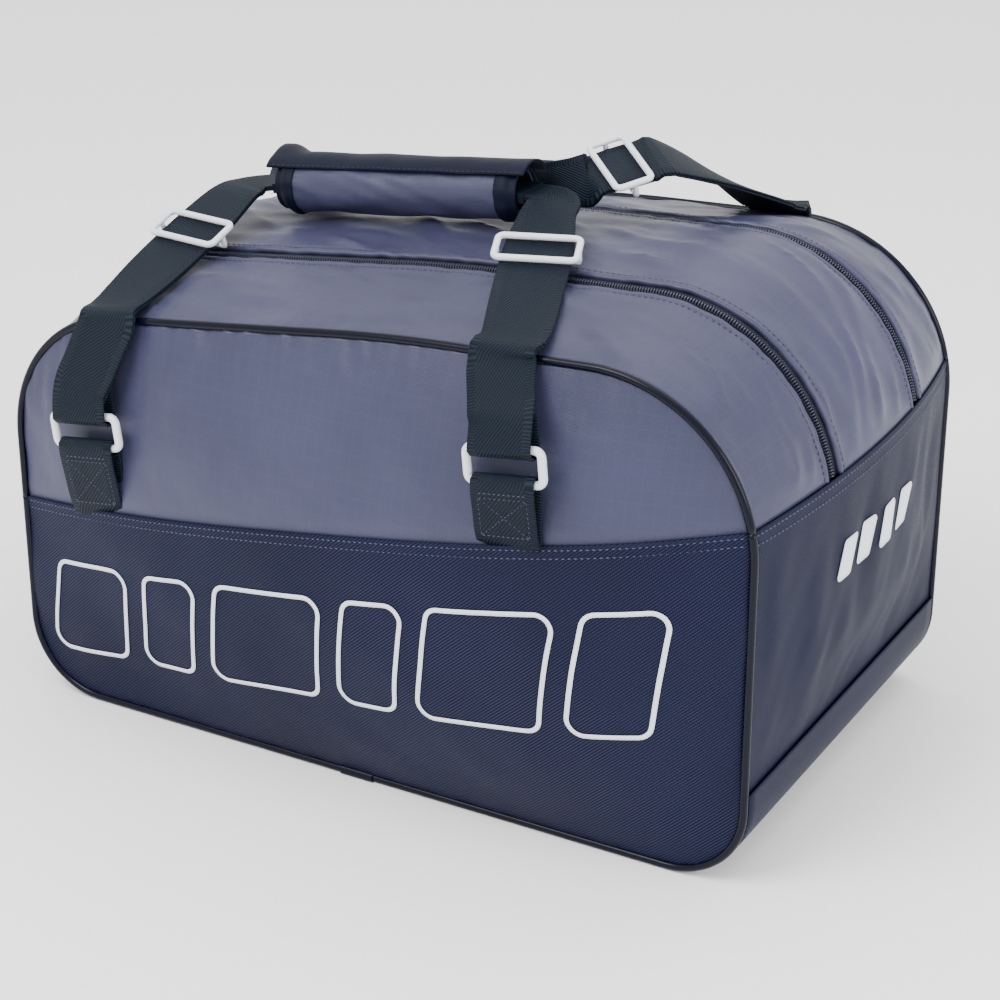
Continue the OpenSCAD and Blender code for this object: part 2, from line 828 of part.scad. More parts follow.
// Straight stretch from the top of the bag to the grip; its two ends are the second and the
// last of these three
function strap_reach(top, aim) =
    let (across = -unit(cross(unit(aim - top), [0, 0, 1])))
    [for (t = [0.3, 0.65, 1]) [mix(top, aim, t), across, t < 1 ? web_width : web_width - 4]];

// Folded end of a strap in front of the core's end; way is 1 to enter it along the grip
function strap_finish(end, way, across) = [
    [end - grip_dir * way * (core_gap + fold_length), across, core_width + 4],
    [end - grip_dir * way * (core_gap + fold_end), across, core_width],
    [end - grip_dir * way * core_gap, across, core_width]
];

front_left_route = concat(
    low_start, strap_reach(low_start[start_last][0], front_low_aim),
    strap_finish(core_end_left, 1, [0, -1, 0])
);
front_right_route = concat(
    high_start, strap_reach(high_start[start_last][0], front_high_aim),
    strap_finish(core_end_right, -1, [0, 1, 0])
);

module front_strap_left() {
    color("#1f2c44") webbing(front_left_route, 3, web);
}

module front_strap_right() {
    color("#1f2c44") webbing(front_right_route, 3, web);
}

// Slack of the rear strap at the high end, which stands up where it passes its strap slide
function rear_slack(dx, y, lift) =
    let (x = grip_x + grip_length / 2 + dx) [x, y, roof_z(x, y) + lift];
rear_peak = rear_slack(57, 53, 38);
rear_slide_at = rear_slack(39, 36, 32);
rear_slide_run = unit(rear_slide_at - rear_peak);
rear_slide_across = unit([0.74, -0.62, -0.25]);
slide_reach = slide_gap + 2 * slide_bar + 2;
rear_core_shift = [0, core_side, 0];
rear_low_aim = core_end_left + [-aim_out, rear_aim_side, -2];

function mirrored(route) = [for (r = route) [flip(r[0]), flip(r[1]), r[2]]];
rear_low_start = mirrored(low_start);
rear_high_start = mirrored(strap_start(high_bar, rear_high_edge_x));

rear_right_route = concat(
    [for (r = rear_high_start) [r[0], -r[1], r[2]]],
    [
        [mix(rear_high_start[start_last][0], rear_peak, 0.55) + [0, 0, 3], [0.9, -0.4, -0.15], web_width],
        [rear_peak, rear_slide_across, web_width],
        [rear_slide_at - rear_slide_run * slide_reach, rear_slide_across, web_width],
        [rear_slide_at, rear_slide_across, web_width],
        [rear_slide_at + rear_slide_run * slide_reach, rear_slide_across, web_width],
        [rear_slide_at + rear_slide_run * (slide_reach + 4), rear_slide_across, web_width - 2]
    ],
    strap_finish(core_end_right + rear_core_shift, -1, [0, 0, -1])
);

rear_left_route = concat(
    [for (r = rear_low_start) [r[0], -r[1], r[2]]],
    [for (r = strap_reach(rear_low_start[start_last][0], rear_low_aim)) [r[0], r[1], r[2]]],
    strap_finish(core_end_left + rear_core_shift, 1, [0, 0, 1])
);

module rear_strap_left() {
    color("#1f2c44") webbing(rear_left_route, 3, web);
}

module rear_strap_right() {
    color("#1f2c44") webbing(rear_right_route, 3, web);
}

module rear_strap_core() {
    color("#1f2c44")
    on_grip(-core_reach)
    translate([core_side - core / 2, -core_width / 2])
    cube([core, core_width, 2 * core_reach]);
}

// ---- Strap slides ----------------------------------------------------------------------------

slide_w = web_width + 2 * (web_clearance + slide_bar);
slide_h = 2 * slide_gap + 3 * slide_bar;

// The two outer bars lie over the strap and the middle bar runs under it
module strap_slide(at, run, across) {
    run_square = unit(run - across * (run * across));
    stand = web / 2 + slide_clearance;
    color("white")
    along(across, run_square, cross(across, run_square), at) {
        translate([0, 0, -stand - slide_bar])
        linear_extrude(slide_bar)
        rounded_box(slide_w, slide_bar, slide_bar / 2 - 0.01);
        for (side = [-1, 1])
        translate([side * (slide_w - slide_bar) / 2, 0, -stand - slide_bar / 2])
        linear_extrude(2 * stand + slide_bar)
        square([slide_bar - 0.5, slide_bar - 0.5], center = true);
        translate([0, 0, stand])
        linear_extrude(slide_bar)
        difference() {
            rounded_box(slide_w, slide_h, slide_bar);
            square([slide_w - 2 * slide_bar, slide_h - 2 * slide_bar], center = true);
        }
    }
}

// Slide part of the way along the straight stretch of a strap
module slide_on(route, from, to, share) {
    a = route[from][0];
    b = route[to][0];
    strap_slide(mix(a, b, share), unit(b - a), -route[to][1]);
}

module front_slide_left() slide_on(front_left_route, start_last, start_last + 3, 0.62);
module front_slide_right() slide_on(front_right_route, start_last, start_last + 3, 0.66);
module rear_slide_left() slide_on(rear_left_route, start_last, start_last + 3, 0.5);
module rear_slide_right() {
    strap_slide(rear_slide_at, -rear_slide_run, rear_slide_across);
}

// ---- Zip sliders and pulls -------------------------------------------------------------------

skin_slope = 2 * end_crown * zip_y / pow(half_d, 2);
zip_out = unit([-1, skin_slope, 0]);
zip_across = unit([-skin_slope, -1, 0]);
zip_end = [-half_l - end_crown * crown_share(zip_y), zip_y, seam_low + slider_rise];
coil_top = tape_top + coil_height + slider_clearance;
tape_under = tape_top - tape - slider_clearance;
eye_r = pull_pin_r + pin_clearance + 1;
pin_out = coil_top + slider_plate + eye_r + 0.4;
pin_rise = slider_length * 0.6;
eye_w = 2.6;
ear = 1.2;
tongue_neck = 6;
merge = 0.1;
neck_play = 0.4;
neck_length = 4;

// Places its children with x pointing out of the bag and z up the zip
module at_zip_end() {
    along(zip_out, zip_across, [0, 0, 1], zip_end) children();
}

module slider() {
    color("#20263c")
    at_zip_end() {
        for (x = [coil_top, tape_under - slider_plate])
        translate([x, -slider_half]) cube([slider_plate, 2 * slider_half, slider_length]);
        translate([tape_under - merge, neck_play - neck_gap])
        cube([coil_top - tape_under + 2 * merge, 2 * (neck_gap - neck_play), neck_length]);
        for (side = [-1, 1])
        translate([coil_top + slider_plate - 0.1, side * (eye_w / 2 + 0.3 + ear / 2) - ear / 2, pin_rise - 2])
        cube([pin_out - coil_top - slider_plate + 2, ear, 4]);
        translate([pin_out, eye_w / 2 + 0.3 + ear / 2, pin_rise])
        rotate([90, 0, 0])
        cylinder(r = pull_pin_r, h = eye_w + 0.6 + ear);
    }
}

module pull() {
    color("#20263c")
    at_zip_end()
    translate([pin_out, 0, pin_rise])
    difference() {
        union() {
            translate([0, eye_w / 2, 0]) rotate([90, 0, 0]) cylinder(r = eye_r, h = eye_w);
            translate([-tongue / 2, -eye_w / 2, -tongue_neck - 1]) cube([tongue, eye_w, tongue_neck]);
            translate([-tongue / 2, -pull_width / 2, -pull_length])
            cube([tongue, pull_width, pull_length - tongue_neck]);
        }
        translate([0, eye_w, 0]) rotate([90, 0, 0]) cylinder(r = pull_pin_r + pin_clearance, h = 2 * eye_w);
    }
}

module front_slider() slider();
module front_pull() pull();
module rear_slider() mirror([0, 1, 0]) slider();
module rear_pull() mirror([0, 1, 0]) pull();

base_panel();
base_board();
divider();
front_panel_lower();
rear_panel_lower();
end_panel_left();
end_panel_right();
center_gusset();
front_piping_lower();
rear_piping_lower();
front_piping_sleeve();
rear_piping_sleeve();
front_zip_tape_bag();
front_zip_coil_bag();
rear_zip_tape_bag();
rear_zip_coil_bag();
front_panel_upper();
front_gusset_strip();
front_piping_upper();
front_zip_tape_lid();
front_zip_coil_lid();
front_anchor_tab_left();
front_anchor_tab_right();
rear_panel_upper();
rear_gusset_strip();
rear_piping_upper();
rear_zip_tape_lid();
rear_zip_coil_lid();
rear_anchor_tab_left();
rear_anchor_tab_right();
front_ring_left();
front_ring_right();
front_strap_left();
front_strap_right();
grip_core();
grip_pad();
grip_binding_left();
grip_binding_right();
grip_fastener_strip();
grip_flap();
rear_ring_left();
rear_ring_right();
rear_strap_left();
rear_strap_right();
rear_strap_core();
front_slide_left();
front_slide_right();
rear_slide_left();
rear_slide_right();
front_slider();
front_pull();
rear_slider();
rear_pull();
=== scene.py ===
"""Paddle case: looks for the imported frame. Metres outside, millimetres inside the shape functions."""
import math

import bpy
import numpy as np
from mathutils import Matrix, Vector, noise


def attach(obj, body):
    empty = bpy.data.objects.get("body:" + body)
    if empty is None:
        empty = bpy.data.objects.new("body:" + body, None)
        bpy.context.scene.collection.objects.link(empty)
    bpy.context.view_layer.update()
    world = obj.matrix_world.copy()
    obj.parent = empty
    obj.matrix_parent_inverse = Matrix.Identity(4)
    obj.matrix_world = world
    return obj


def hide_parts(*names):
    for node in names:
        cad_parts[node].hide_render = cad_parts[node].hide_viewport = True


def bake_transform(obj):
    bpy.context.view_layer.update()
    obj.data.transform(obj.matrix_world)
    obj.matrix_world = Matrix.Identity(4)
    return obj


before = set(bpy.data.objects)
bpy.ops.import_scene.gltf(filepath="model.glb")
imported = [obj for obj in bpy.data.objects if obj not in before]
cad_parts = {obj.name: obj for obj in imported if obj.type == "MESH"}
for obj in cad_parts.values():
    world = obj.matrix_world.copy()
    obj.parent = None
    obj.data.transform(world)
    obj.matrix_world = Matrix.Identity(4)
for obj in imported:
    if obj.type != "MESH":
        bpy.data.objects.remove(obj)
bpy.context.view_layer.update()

# ---- Sizes of the bag, in millimetres, as the CAD model has them
MM = 0.001
HALF_L, HALF_D = 245.0, 140.0
PIPE_R = 2.5
LOW_TOP, BEND_TOP, BEND_X, HIGH_TOP = 252.0, 288.0, 20.0, 301.0
LOW_R, BEND_R, HIGH_R, BASE_R = 90.0, 900.0, 95.0, 47.0
SEAM_LOW, SEAM_HIGH = 132.0, 221.0
SWELL, LEAN = 36.0, 0.35
TOP_CROWN, END_CROWN = 22.0, 16.0
BASE_RISE = 60.0
ZIP_Y = -60.0
HEM = 6.0
WEB_W = 40.0
BAR = 5.0
RING_GAP = 14.0
LOW_RING_X, HIGH_RING_X = -175.0, 115.0
LOW_TAB, HIGH_TAB = 44.0, 38.0
GRIP_L, GRIP_R, GRIP_X = 168.0, 17.5, -50.0
WEB_HALF, WEB_SLACK, LOOP_SLACK = 1.6, 1.2, 0.4
BAR_STAND = BAR / math.sqrt(2) + LOOP_SLACK + WEB_HALF + WEB_SLACK
CLOTH, HEAVY_CLOTH = 1.2, 1.4


# ---- Vectors and paths
def unit(v):
    v = np.asarray(v, float)
    return v / np.linalg.norm(v, axis=-1, keepdims=True)


def ease(t):
    t = np.clip(t, 0, 1)
    return t * t * (3 - 2 * t)


def rounded(a, b, c, r, n=24):
    """Arc of radius r that rounds corner b of the path a, b, c."""
    a, b, c = (np.array(p, float) for p in (a, b, c))
    u = unit(a - b)
    w = unit(c - b)
    half = math.acos(float(u @ w)) / 2
    centre = b + unit(u + w) * r / math.sin(half)
    p = b + u * r / math.tan(half)
    q = b + w * r / math.tan(half)
    return [centre + unit(p + (q - p) * i / n - centre) * r for i in range(n + 1)]


def lengths(path):
    return np.concatenate([[0], np.cumsum(np.linalg.norm(np.diff(path, axis=0), axis=1))])


def sample(at, s, values):
    """Rows of values that are given at lengths s, taken at other lengths."""
    return np.stack([np.interp(at, s, column) for column in np.asarray(values).T], axis=1)


def resample(path, n, start=0.0, end=None):
    """The path in n equal steps, from length start to length end."""
    path = np.asarray(path, float)
    s = lengths(path)
    return sample(np.linspace(start, s[-1] if end is None else end, n + 1), s, path)


def tangents(path):
    return unit(np.gradient(np.asarray(path, float), axis=0))


def normals(path):
    """Outward normals of a clockwise path in the X-Z plane."""
    t = tangents(path)
    return np.stack([-t[:, 1], t[:, 0]], axis=1)


def in_space(n):
    """Directions in the X-Z plane as directions in space."""
    return np.stack([n[:, 0], np.zeros(len(n)), n[:, 1]], axis=1)


def spline(points, step):
    """Smooth curve through listed points, at about the given step."""
    p = np.asarray(points, float)
    padded = np.vstack([2 * p[0] - p[1], p, 2 * p[-1] - p[-2]])
    out = []
    for i in range(1, len(padded) - 2):
        a, b, c, d = padded[i - 1 : i + 3]
        n = max(2, int(np.linalg.norm((c - b)[:3]) / step))
        for k in range(n):
            t = k / n
            square = (2 * a - 5 * b + 4 * c - d) * t**2 / 2
            cube = (3 * b - a - 3 * c + d) * t**3 / 2
            out.append(b + (c - a) * t / 2 + square + cube)
    out.append(p[-1])
    return np.array(out)


def flip(v):
    return np.asarray(v, float) * [1, -1, 1]


def waves(u, v, scale, seed):
    """Smooth noise between about -1 and 1 over two arrays of places."""
    u, v = np.broadcast_arrays(u, v)
    flat = [noise.noise(Vector((a / scale, b / scale, seed))) for a, b in zip(u.ravel(), v.ravel())]
    return np.array(flat).reshape(u.shape)


# ---- Outline, skin and swell of the bag
BASE_LEFT, BASE_RIGHT = (-HALF_L, PIPE_R), (HALF_L, PIPE_R)
TOP_LEFT, TOP_MID, TOP_RIGHT = (-HALF_L, LOW_TOP), (BEND_X, BEND_TOP), (HALF_L, HIGH_TOP)
OUTLINE = np.array(
    [(0, PIPE_R)]
    + rounded((0, PIPE_R), BASE_LEFT, TOP_LEFT, BASE_R)
    + rounded(BASE_LEFT, TOP_LEFT, TOP_MID, LOW_R)
    + rounded(TOP_LEFT, TOP_MID, TOP_RIGHT, BEND_R)
    + rounded(TOP_MID, TOP_RIGHT, BASE_RIGHT, HIGH_R)
    + rounded(TOP_RIGHT, BASE_RIGHT, (0, PIPE_R), BASE_R)
)


def seam_z(x):
    return SEAM_LOW + (SEAM_HIGH - SEAM_LOW) * (np.asarray(x) + HALF_L) / (2 * HALF_L)


def split_outline():
    """The outline above the seam and the outline below it, both from the low end to the high end."""
    h = OUTLINE[:, 1] - seam_z(OUTLINE[:, 0])
    ups = np.where(h > 0)[0]
    cut = lambda i, j: OUTLINE[i] + (OUTLINE[j] - OUTLINE[i]) * h[i] / (h[i] - h[j])
    left, right = cut(ups[0] - 1, ups[0]), cut(ups[-1], ups[-1] + 1)
    upper = np.vstack([left, OUTLINE[ups], right])
    lower = np.vstack([left, OUTLINE[: ups[0]][::-1], OUTLINE[ups[-1] + 1 :][::-1], right])
    return upper, lower


UPPER, LOWER = split_outline()
UPPER_L = lengths(UPPER)[-1]
TOPS = OUTLINE[(OUTLINE[:, 1] > LOW_TOP / 2)]
LOWS = OUTLINE[(OUTLINE[:, 1] < BASE_R + PIPE_R + 0.01)]
LOWS = LOWS[np.argsort(LOWS[:, 0])]


def top_z(x):
    return np.interp(x, TOPS[:, 0] + TOPS[:, 1] * 1e-6, TOPS[:, 1])


def low_z(x):
    return np.interp(x, LOWS[:, 0], LOWS[:, 1])


def swell(x, z):
    u = np.clip(np.abs(x) / HALF_L, 0, 1)
    mid = (top_z(x) + low_z(x)) / 2
    half = (top_z(x) - low_z(x)) / 2
    v = np.clip(np.abs(z - mid) / half, 0, 1)
    return SWELL * (1 + LEAN * np.asarray(x) / HALF_L) * (1 - u**3) * (1 - v * v)


def crown(path, n):
    rise = ease((path[:, 1] - BASE_RISE) / (SEAM_LOW - BASE_RISE - 4))
    return END_CROWN * n[:, 0] ** 2 * rise + TOP_CROWN * np.maximum(n[:, 1], 0) ** 2


def lifted_rows(path, n, y, lift):
    x = path[None, :, 0] + n[None, :, 0] * lift
    z = path[None, :, 1] + n[None, :, 1] * lift
    return np.stack([x, np.broadcast_to(y, lift.shape), z], axis=2)


def skin(path, y, lift):
    """Points of the bag's skin, a row for each depth y, moved outward by lift."""
    n = normals(path)
    y = np.asarray(y, float)[:, None]
    c = crown(path, n)[None, :] * (1 - (y / HALF_D) ** 2) + lift
    return lifted_rows(path, n, y, c)


def roof_z(x, y):
    return top_z(x) + TOP_CROWN * (1 - (y / HALF_D) ** 2)


def face(x, z, lift=0.0):
    """Points of the front panel's skin."""
    x, z = np.broadcast_arrays(np.asarray(x, float), np.asarray(z, float))
    return np.stack([x, -HALF_D - swell(x, z) - lift, z], axis=-1)


# ---- Materials
def srgb(r, g, b):
    to_linear = lambda c: c / 12.92 if c <= 0.04045 else ((c + 0.055) / 1.055) ** 2.4
    return (to_linear(r / 255), to_linear(g / 255), to_linear(b / 255), 1.0)


class Surface:
    """A principled material with helpers that add pattern nodes."""

    def __init__(self, name, roughness, **sockets):
        self.material = bpy.data.materials.new(name)
        self.material.use_nodes = True
        self.nodes = self.material.node_tree.nodes
        self.links = self.material.node_tree.links
        self.shader = self.nodes["Principled BSDF"]
        self.shader.inputs["Roughness"].default_value = roughness
        for key, value in sockets.items():
            self.shader.inputs[key.replace("_", " ")].default_value = value

    def link(self, value, socket):
        if isinstance(value, (int, float)):
            socket.default_value = value
        else:
            self.links.new(value, socket)

    def math(self, kind, a, b=0.0, c=0.0):
        node = self.nodes.new("ShaderNodeMath")
        node.operation = kind
        for value, socket in zip((a, b, c), node.inputs):
            self.link(value, socket)
        return node.outputs[0]

    def uv(self):
        """Distances along and across the cloth, in millimetres."""
        node = self.nodes.new("ShaderNodeTexCoord")
        split = self.nodes.new("ShaderNodeSeparateXYZ")
        self.links.new(node.outputs["UV"], split.inputs[0])
        along = self.math("MULTIPLY", split.outputs[0], 1 / MM)
        return along, self.math("MULTIPLY", split.outputs[1], 1 / MM)

    def stripes(self, along, pitch):
        """A wave between 0 and 1 that repeats every pitch millimetres."""
        wave = self.math("SINE", self.math("MULTIPLY", along, 2 * math.pi / pitch))
        return self.math("MULTIPLY_ADD", wave, 0.5, 0.5)

    def noise(self, scale, detail=2.0):
        coord = self.nodes.new("ShaderNodeTexCoord")
        mapping = self.nodes.new("ShaderNodeMapping")
        node = self.nodes.new("ShaderNodeTexNoise")
        node.inputs["Scale"].default_value = scale
        node.inputs["Detail"].default_value = detail
        self.links.new(coord.outputs["Object"], mapping.inputs[0])
        self.links.new(mapping.outputs[0], node.inputs["Vector"])
        return node.outputs["Fac"]

    def mix(self, factor, dark, light):
        node = self.nodes.new("ShaderNodeMix")
        node.data_type = "RGBA"
        self.link(factor, node.inputs[0])
        for value, socket in ((dark, node.inputs[6]), (light, node.inputs[7])):
            if isinstance(value, tuple):
                socket.default_value = value
            else:
                self.links.new(value, socket)
        return node.outputs[2]

    def colour(self, value):
        self.links.new(value, self.shader.inputs["Base Color"])

    def bump(self, *layers):
        """Layers are (height, strength, distance in millimetres), from the coarsest to the finest."""
        normal = None
        for height, strength, distance in layers:
            node = self.nodes.new("ShaderNodeBump")
            node.inputs["Strength"].default_value = strength
            node.inputs["Distance"].default_value = distance * MM
            self.links.new(height, node.inputs["Height"])
            if normal is not None:
                self.links.new(normal, node.inputs["Normal"])
            normal = node.outputs[0]
        self.links.new(normal, self.shader.inputs["Normal"])
        return self.material


def plain_weave(name, dark, light, pitch, roughness, sheen, gloss=0.3):
    """Thin shiny nylon: fine over-and-under weave with a faint ripstop grid."""
    s = Surface(name, roughness, Sheen_Weight=sheen, Sheen_Roughness=0.35, Specular_IOR_Level=gloss)
    u, v = s.uv()
    threads = s.math("MULTIPLY", s.stripes(u, pitch), s.stripes(v, pitch))
    grid = s.math("MAXIMUM", s.stripes(u, pitch * 9), s.stripes(v, pitch * 9))
    grid = s.math("POWER", grid, 24.0)
    patches = s.noise(9.0, 3.0)
    tone = s.math("MULTIPLY_ADD", threads, 0.35, s.math("MULTIPLY", patches, 0.65))
    s.colour(s.mix(s.math("ADD", tone, s.math("MULTIPLY", grid, 0.06)), dark, light))
    return s.bump((s.noise(22.0, 3.0), 0.35, 3.0), (s.noise(60.0, 4.0), 0.3, 1.5), (threads, 0.35, 0.18))


def twill(name, dark, light, pitch, roughness, sheen):
    """Coarse polyester twill: diagonal ribs crossed by the threads that form them."""
    s = Surface(name, roughness, Sheen_Weight=sheen, Sheen_Roughness=0.4, Specular_IOR_Level=0.12)
    u, v = s.uv()
    ribs = s.stripes(s.math("SUBTRACT", v, s.math("MULTIPLY", u, 0.9)), pitch)
    threads = s.stripes(s.math("ADD", u, s.math("MULTIPLY", v, 0.25)), pitch * 0.55)
    weave = s.math("MULTIPLY", s.math("POWER", ribs, 1.6), s.math("MULTIPLY_ADD", threads, 0.6, 0.4))
    patches = s.noise(7.0, 2.0)
    tone = s.math("MULTIPLY", weave, s.math("MULTIPLY_ADD", patches, 0.9, 0.35))
    s.colour(s.mix(tone, dark, light))
    return s.bump((s.noise(40.0, 3.0), 0.2, 1.0), (weave, 0.8, 0.35))


def webbing_weave(name, dark, light):
    """Handle webbing: slanted ribs in the middle and cross ribs on both selvedges."""
    s = Surface(name, 0.55, Specular_IOR_Level=0.15)
    u, v = s.uv()
    slant = s.stripes(s.math("MULTIPLY_ADD", u, 1.35, v), 2.9)
    cross = s.stripes(v, 1.7)
    edge = s.math("GREATER_THAN", s.math("ABSOLUTE", s.math("SUBTRACT", u, WEB_W / 2)), WEB_W / 2 - 5.2)
    inner = s.math("MULTIPLY", slant, s.math("SUBTRACT", 1.0, edge))
    ribs = s.math("ADD", inner, s.math("MULTIPLY", cross, edge))
    threads = s.math("MULTIPLY", s.stripes(u, 0.8), s.stripes(v, 0.7))
    tone = s.math("MULTIPLY_ADD", s.math("POWER", ribs, 2.0), 0.8, s.math("MULTIPLY", threads, 0.2))
    s.colour(s.mix(tone, dark, light))
    return s.bump((ribs, 0.9, 0.5), (threads, 0.35, 0.15))


def smooth_plastic(name, colour, roughness, coat, gloss=0.5):
    s = Surface(name, roughness, Coat_Weight=coat, Coat_Roughness=0.15, Specular_IOR_Level=gloss)
    s.colour(s.mix(s.noise(35.0, 2.0), tuple(c * 0.94 for c in colour[:3]) + (1.0,), colour))
    return s.bump((s.noise(260.0, 2.0), 0.08, 0.2),)


SLATE = plain_weave("slate_nylon", srgb(38, 39, 58), srgb(68, 69, 98), 0.85, 0.34, 0.0)
NAVY = twill("navy_twill", srgb(3, 4, 17), srgb(39, 45, 88), 2.1, 0.5, 0.0)
# Painted light: a second copy of the navy twill, with its tones set for how light falls on the end panels;
# the base panel uses it too.
NAVY_END_PAINTED_LIGHT = twill("navy_twill_end_painted_light", srgb(5, 7, 24), srgb(33, 40, 76), 1.6, 0.5, 0.0)
NAVY_PLAIN = plain_weave("navy_plain", srgb(3, 6, 18), srgb(12, 19, 42), 0.7, 0.5, 0.0, 0.12)
WEBBING = webbing_weave("webbing", srgb(2, 6, 14), srgb(17, 33, 50))
VINYL = smooth_plastic("piping_vinyl", srgb(5, 7, 22), 0.24, 0.0, 0.16)
WHITE_PLASTIC = smooth_plastic("white_plastic", srgb(222, 225, 231), 0.32, 0.15)
ZIP_TAPE = plain_weave("zip_tape", srgb(4, 6, 16), srgb(14, 18, 34), 0.6, 0.6, 0.02)
COIL = smooth_plastic("zip_coil", srgb(34, 38, 56), 0.35, 0.1)
SLIDER = smooth_plastic("slider_paint", srgb(12, 16, 30), 0.3, 0.4)
THREAD = smooth_plastic("thread", srgb(62, 68, 94), 0.6, 0.0)
THREAD_DARK = smooth_plastic("thread_dark", srgb(20, 26, 48), 0.6, 0.0)
PRINT = smooth_plastic("white_print", srgb(222, 226, 233), 0.5, 0.0)
LINING = plain_weave("lining", srgb(22, 24, 34), srgb(34, 37, 48), 0.8, 0.7, 0.05)
BOARD = smooth_plastic("base_board", srgb(16, 18, 22), 0.6, 0.0)


# ---- Meshes
def new_object(name, data):
    obj = bpy.data.objects.new(name, data)
    bpy.context.scene.collection.objects.link(obj)
    return obj


def make_object(name, verts, faces, material, uvs=None, smooth=True):
    """verts are millimetres; uvs, one for each vertex, are metres."""
    mesh = bpy.data.meshes.new(name)
    mesh.from_pydata((np.asarray(verts, float) * MM).tolist(), [], faces)
    if uvs is not None:
        layer = mesh.uv_layers.new(name="UVMap")
        loops = np.empty(len(mesh.loops), int)
        mesh.loops.foreach_get("vertex_index", loops)
        layer.data.foreach_set("uv", np.asarray(uvs, float)[loops].ravel())
    mesh.polygons.foreach_set("use_smooth", [smooth] * len(mesh.polygons))
    mesh.materials.append(material)
    mesh.update()
    return new_object(name, mesh)


def grid_faces(rows, cols, turned=False, wrap=False, start=0):
    """Quads of a grid of rows x cols vertices; wrap joins the last row to the first."""
    faces = []
    for r in range(rows if wrap else rows - 1):
        for c in range(cols - 1):
            a, d = start + r * cols + c, start + (r + 1) % rows * cols + c
            quad = (a, a + 1, d + 1, d)
            faces.append(quad[::-1] if turned else quad)
    return faces


def cloth_piece(name, points, uv, material, turned=False, thickness=CLOTH):
    """A sheet of cloth from rows of points, with its thickness and its lining on the inner side."""
    rows, cols = points.shape[:2]
    faces = grid_faces(rows, cols, turned)
    obj = make_object(name, points.reshape(-1, 3), faces, material, uv.reshape(-1, 2) * MM)
    obj.data.materials.append(LINING)
    solid = obj.modifiers.new("thickness", "SOLIDIFY")
    solid.thickness = thickness * MM
    solid.offset = -1
    solid.material_offset = 1
    return bake_modifiers(obj)


def bake_modifiers(obj):
    """Replaces the mesh by its evaluated copy."""
    bpy.context.view_layer.update()
    depsgraph = bpy.context.evaluated_depsgraph_get()
    mesh = bpy.data.meshes.new_from_object(obj.evaluated_get(depsgraph))
    obj.modifiers.clear()
    obj.data = mesh
    return obj


def ring_points(path, a, b, radii, sides):
    """Vertices of a ring round each point of a path, in the cross directions a and b."""
    angle = np.linspace(0, 2 * math.pi, sides, endpoint=False)
    ring = np.cos(angle)[None, :, None] * a[:, None, :] + np.sin(angle)[None, :, None] * b[:, None, :]
    return (path[:, None, :] + ring * np.asarray(radii)[:, None, None]).reshape(-1, 3)


def band(count, a, b):
    """Quads between ring a and ring b of count vertices each."""
    turn = [(k, (k + 1) % count) for k in range(count)]
    return [(a * count + k, a * count + m, b * count + m, b * count + k) for k, m in turn]


def tube(path, radii, frames, sides=12):
    """Vertices and faces of a closed tube: frames are the two cross directions at each point."""
    verts = ring_points(path, *frames, radii, sides)
    faces = []
    for i in range(len(path) - 1):
        faces += band(sides, i, i + 1)
    last = (len(path) - 1) * sides
    faces.append(tuple(range(sides))[::-1])
    faces.append(tuple(last + k for k in range(sides)))
    return verts, faces


def join_parts(parts):
    """Joins (verts, faces) pairs into one."""
    verts = []
    faces = []
    start = 0
    for v, f in parts:
        verts.append(np.asarray(v, float))
        faces += [tuple(i + start for i in face_) for face_ in f]
        start += len(v)
    return np.vstack(verts), faces


def joined(name, parts, material, smooth=False):
    verts, faces = join_parts(parts)
    return make_object(name, verts, faces, material, smooth=smooth)


STITCH_SHAPE = np.array(
    [(-1, 0, 0), (1, 0, 0)]
    + [(-0.3, 1, 0), (-0.3, 0, 1), (-0.3, -1, 0)]
    + [(0.3, 1, 0), (0.3, 0, 1), (0.3, -1, 0)]
)
STITCH_FACES = [(0, 2, 3), (0, 3, 4), (3, 2, 5, 6), (4, 3, 6, 7)]
STITCH_FACES += [(1, 6, 5), (1, 7, 6), (0, 4, 7, 1), (0, 1, 5, 2)]
STITCH_SINK = 0.1
STITCH_HEIGHT = 1.3


def stitches(path, out, pitch, length, radius):
    """Row of stitches along a path; out is the outward direction at each point of it."""
    s = lengths(path)
    count = max(2, int(s[-1] / pitch))
    at = (np.arange(count) + 0.5) * s[-1] / count
    point = sample(at, s, path)
    along = unit(sample(at, s, tangents(path)))
    up = unit(sample(at, s, out))
    side = unit(np.cross(up, along))
    x, y, z = STITCH_SHAPE[:, :1], STITCH_SHAPE[:, 1:2], STITCH_SHAPE[:, 2:]
    parts = []
    for p, t, n, w in zip(point, along, up, side):
        verts = p - n * STITCH_SINK + x * t * length / 2 + y * w * radius + z * n * radius * STITCH_HEIGHT
        parts.append((verts, STITCH_FACES))
    return join_parts(parts)


# ---- Riding
SEAM_UP = unit([-(SEAM_HIGH - SEAM_LOW), 0, 2 * HALF_L])


def declare(obj, nodes):
    if nodes:
        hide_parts(*nodes)
    return obj


def to_body(obj, body, slot, *nodes):
    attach(obj, body)
    return declare(obj, nodes)


def to_root(obj, slot, *nodes):
    return to_body(obj, "root", slot, *nodes)


def to_lid(obj, side, slot, *nodes):
    """Bakes the piece's placement into its mesh and hides the named CAD parts."""
    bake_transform(obj)
    return declare(obj, nodes)


def side_name(side):
    return "front" if side < 0 else "rear"


def mirrored(points, side):
    """Points made for the front (side -1), moved to the rear for side 1."""
    return points if side < 0 else points * [1, -1, 1]


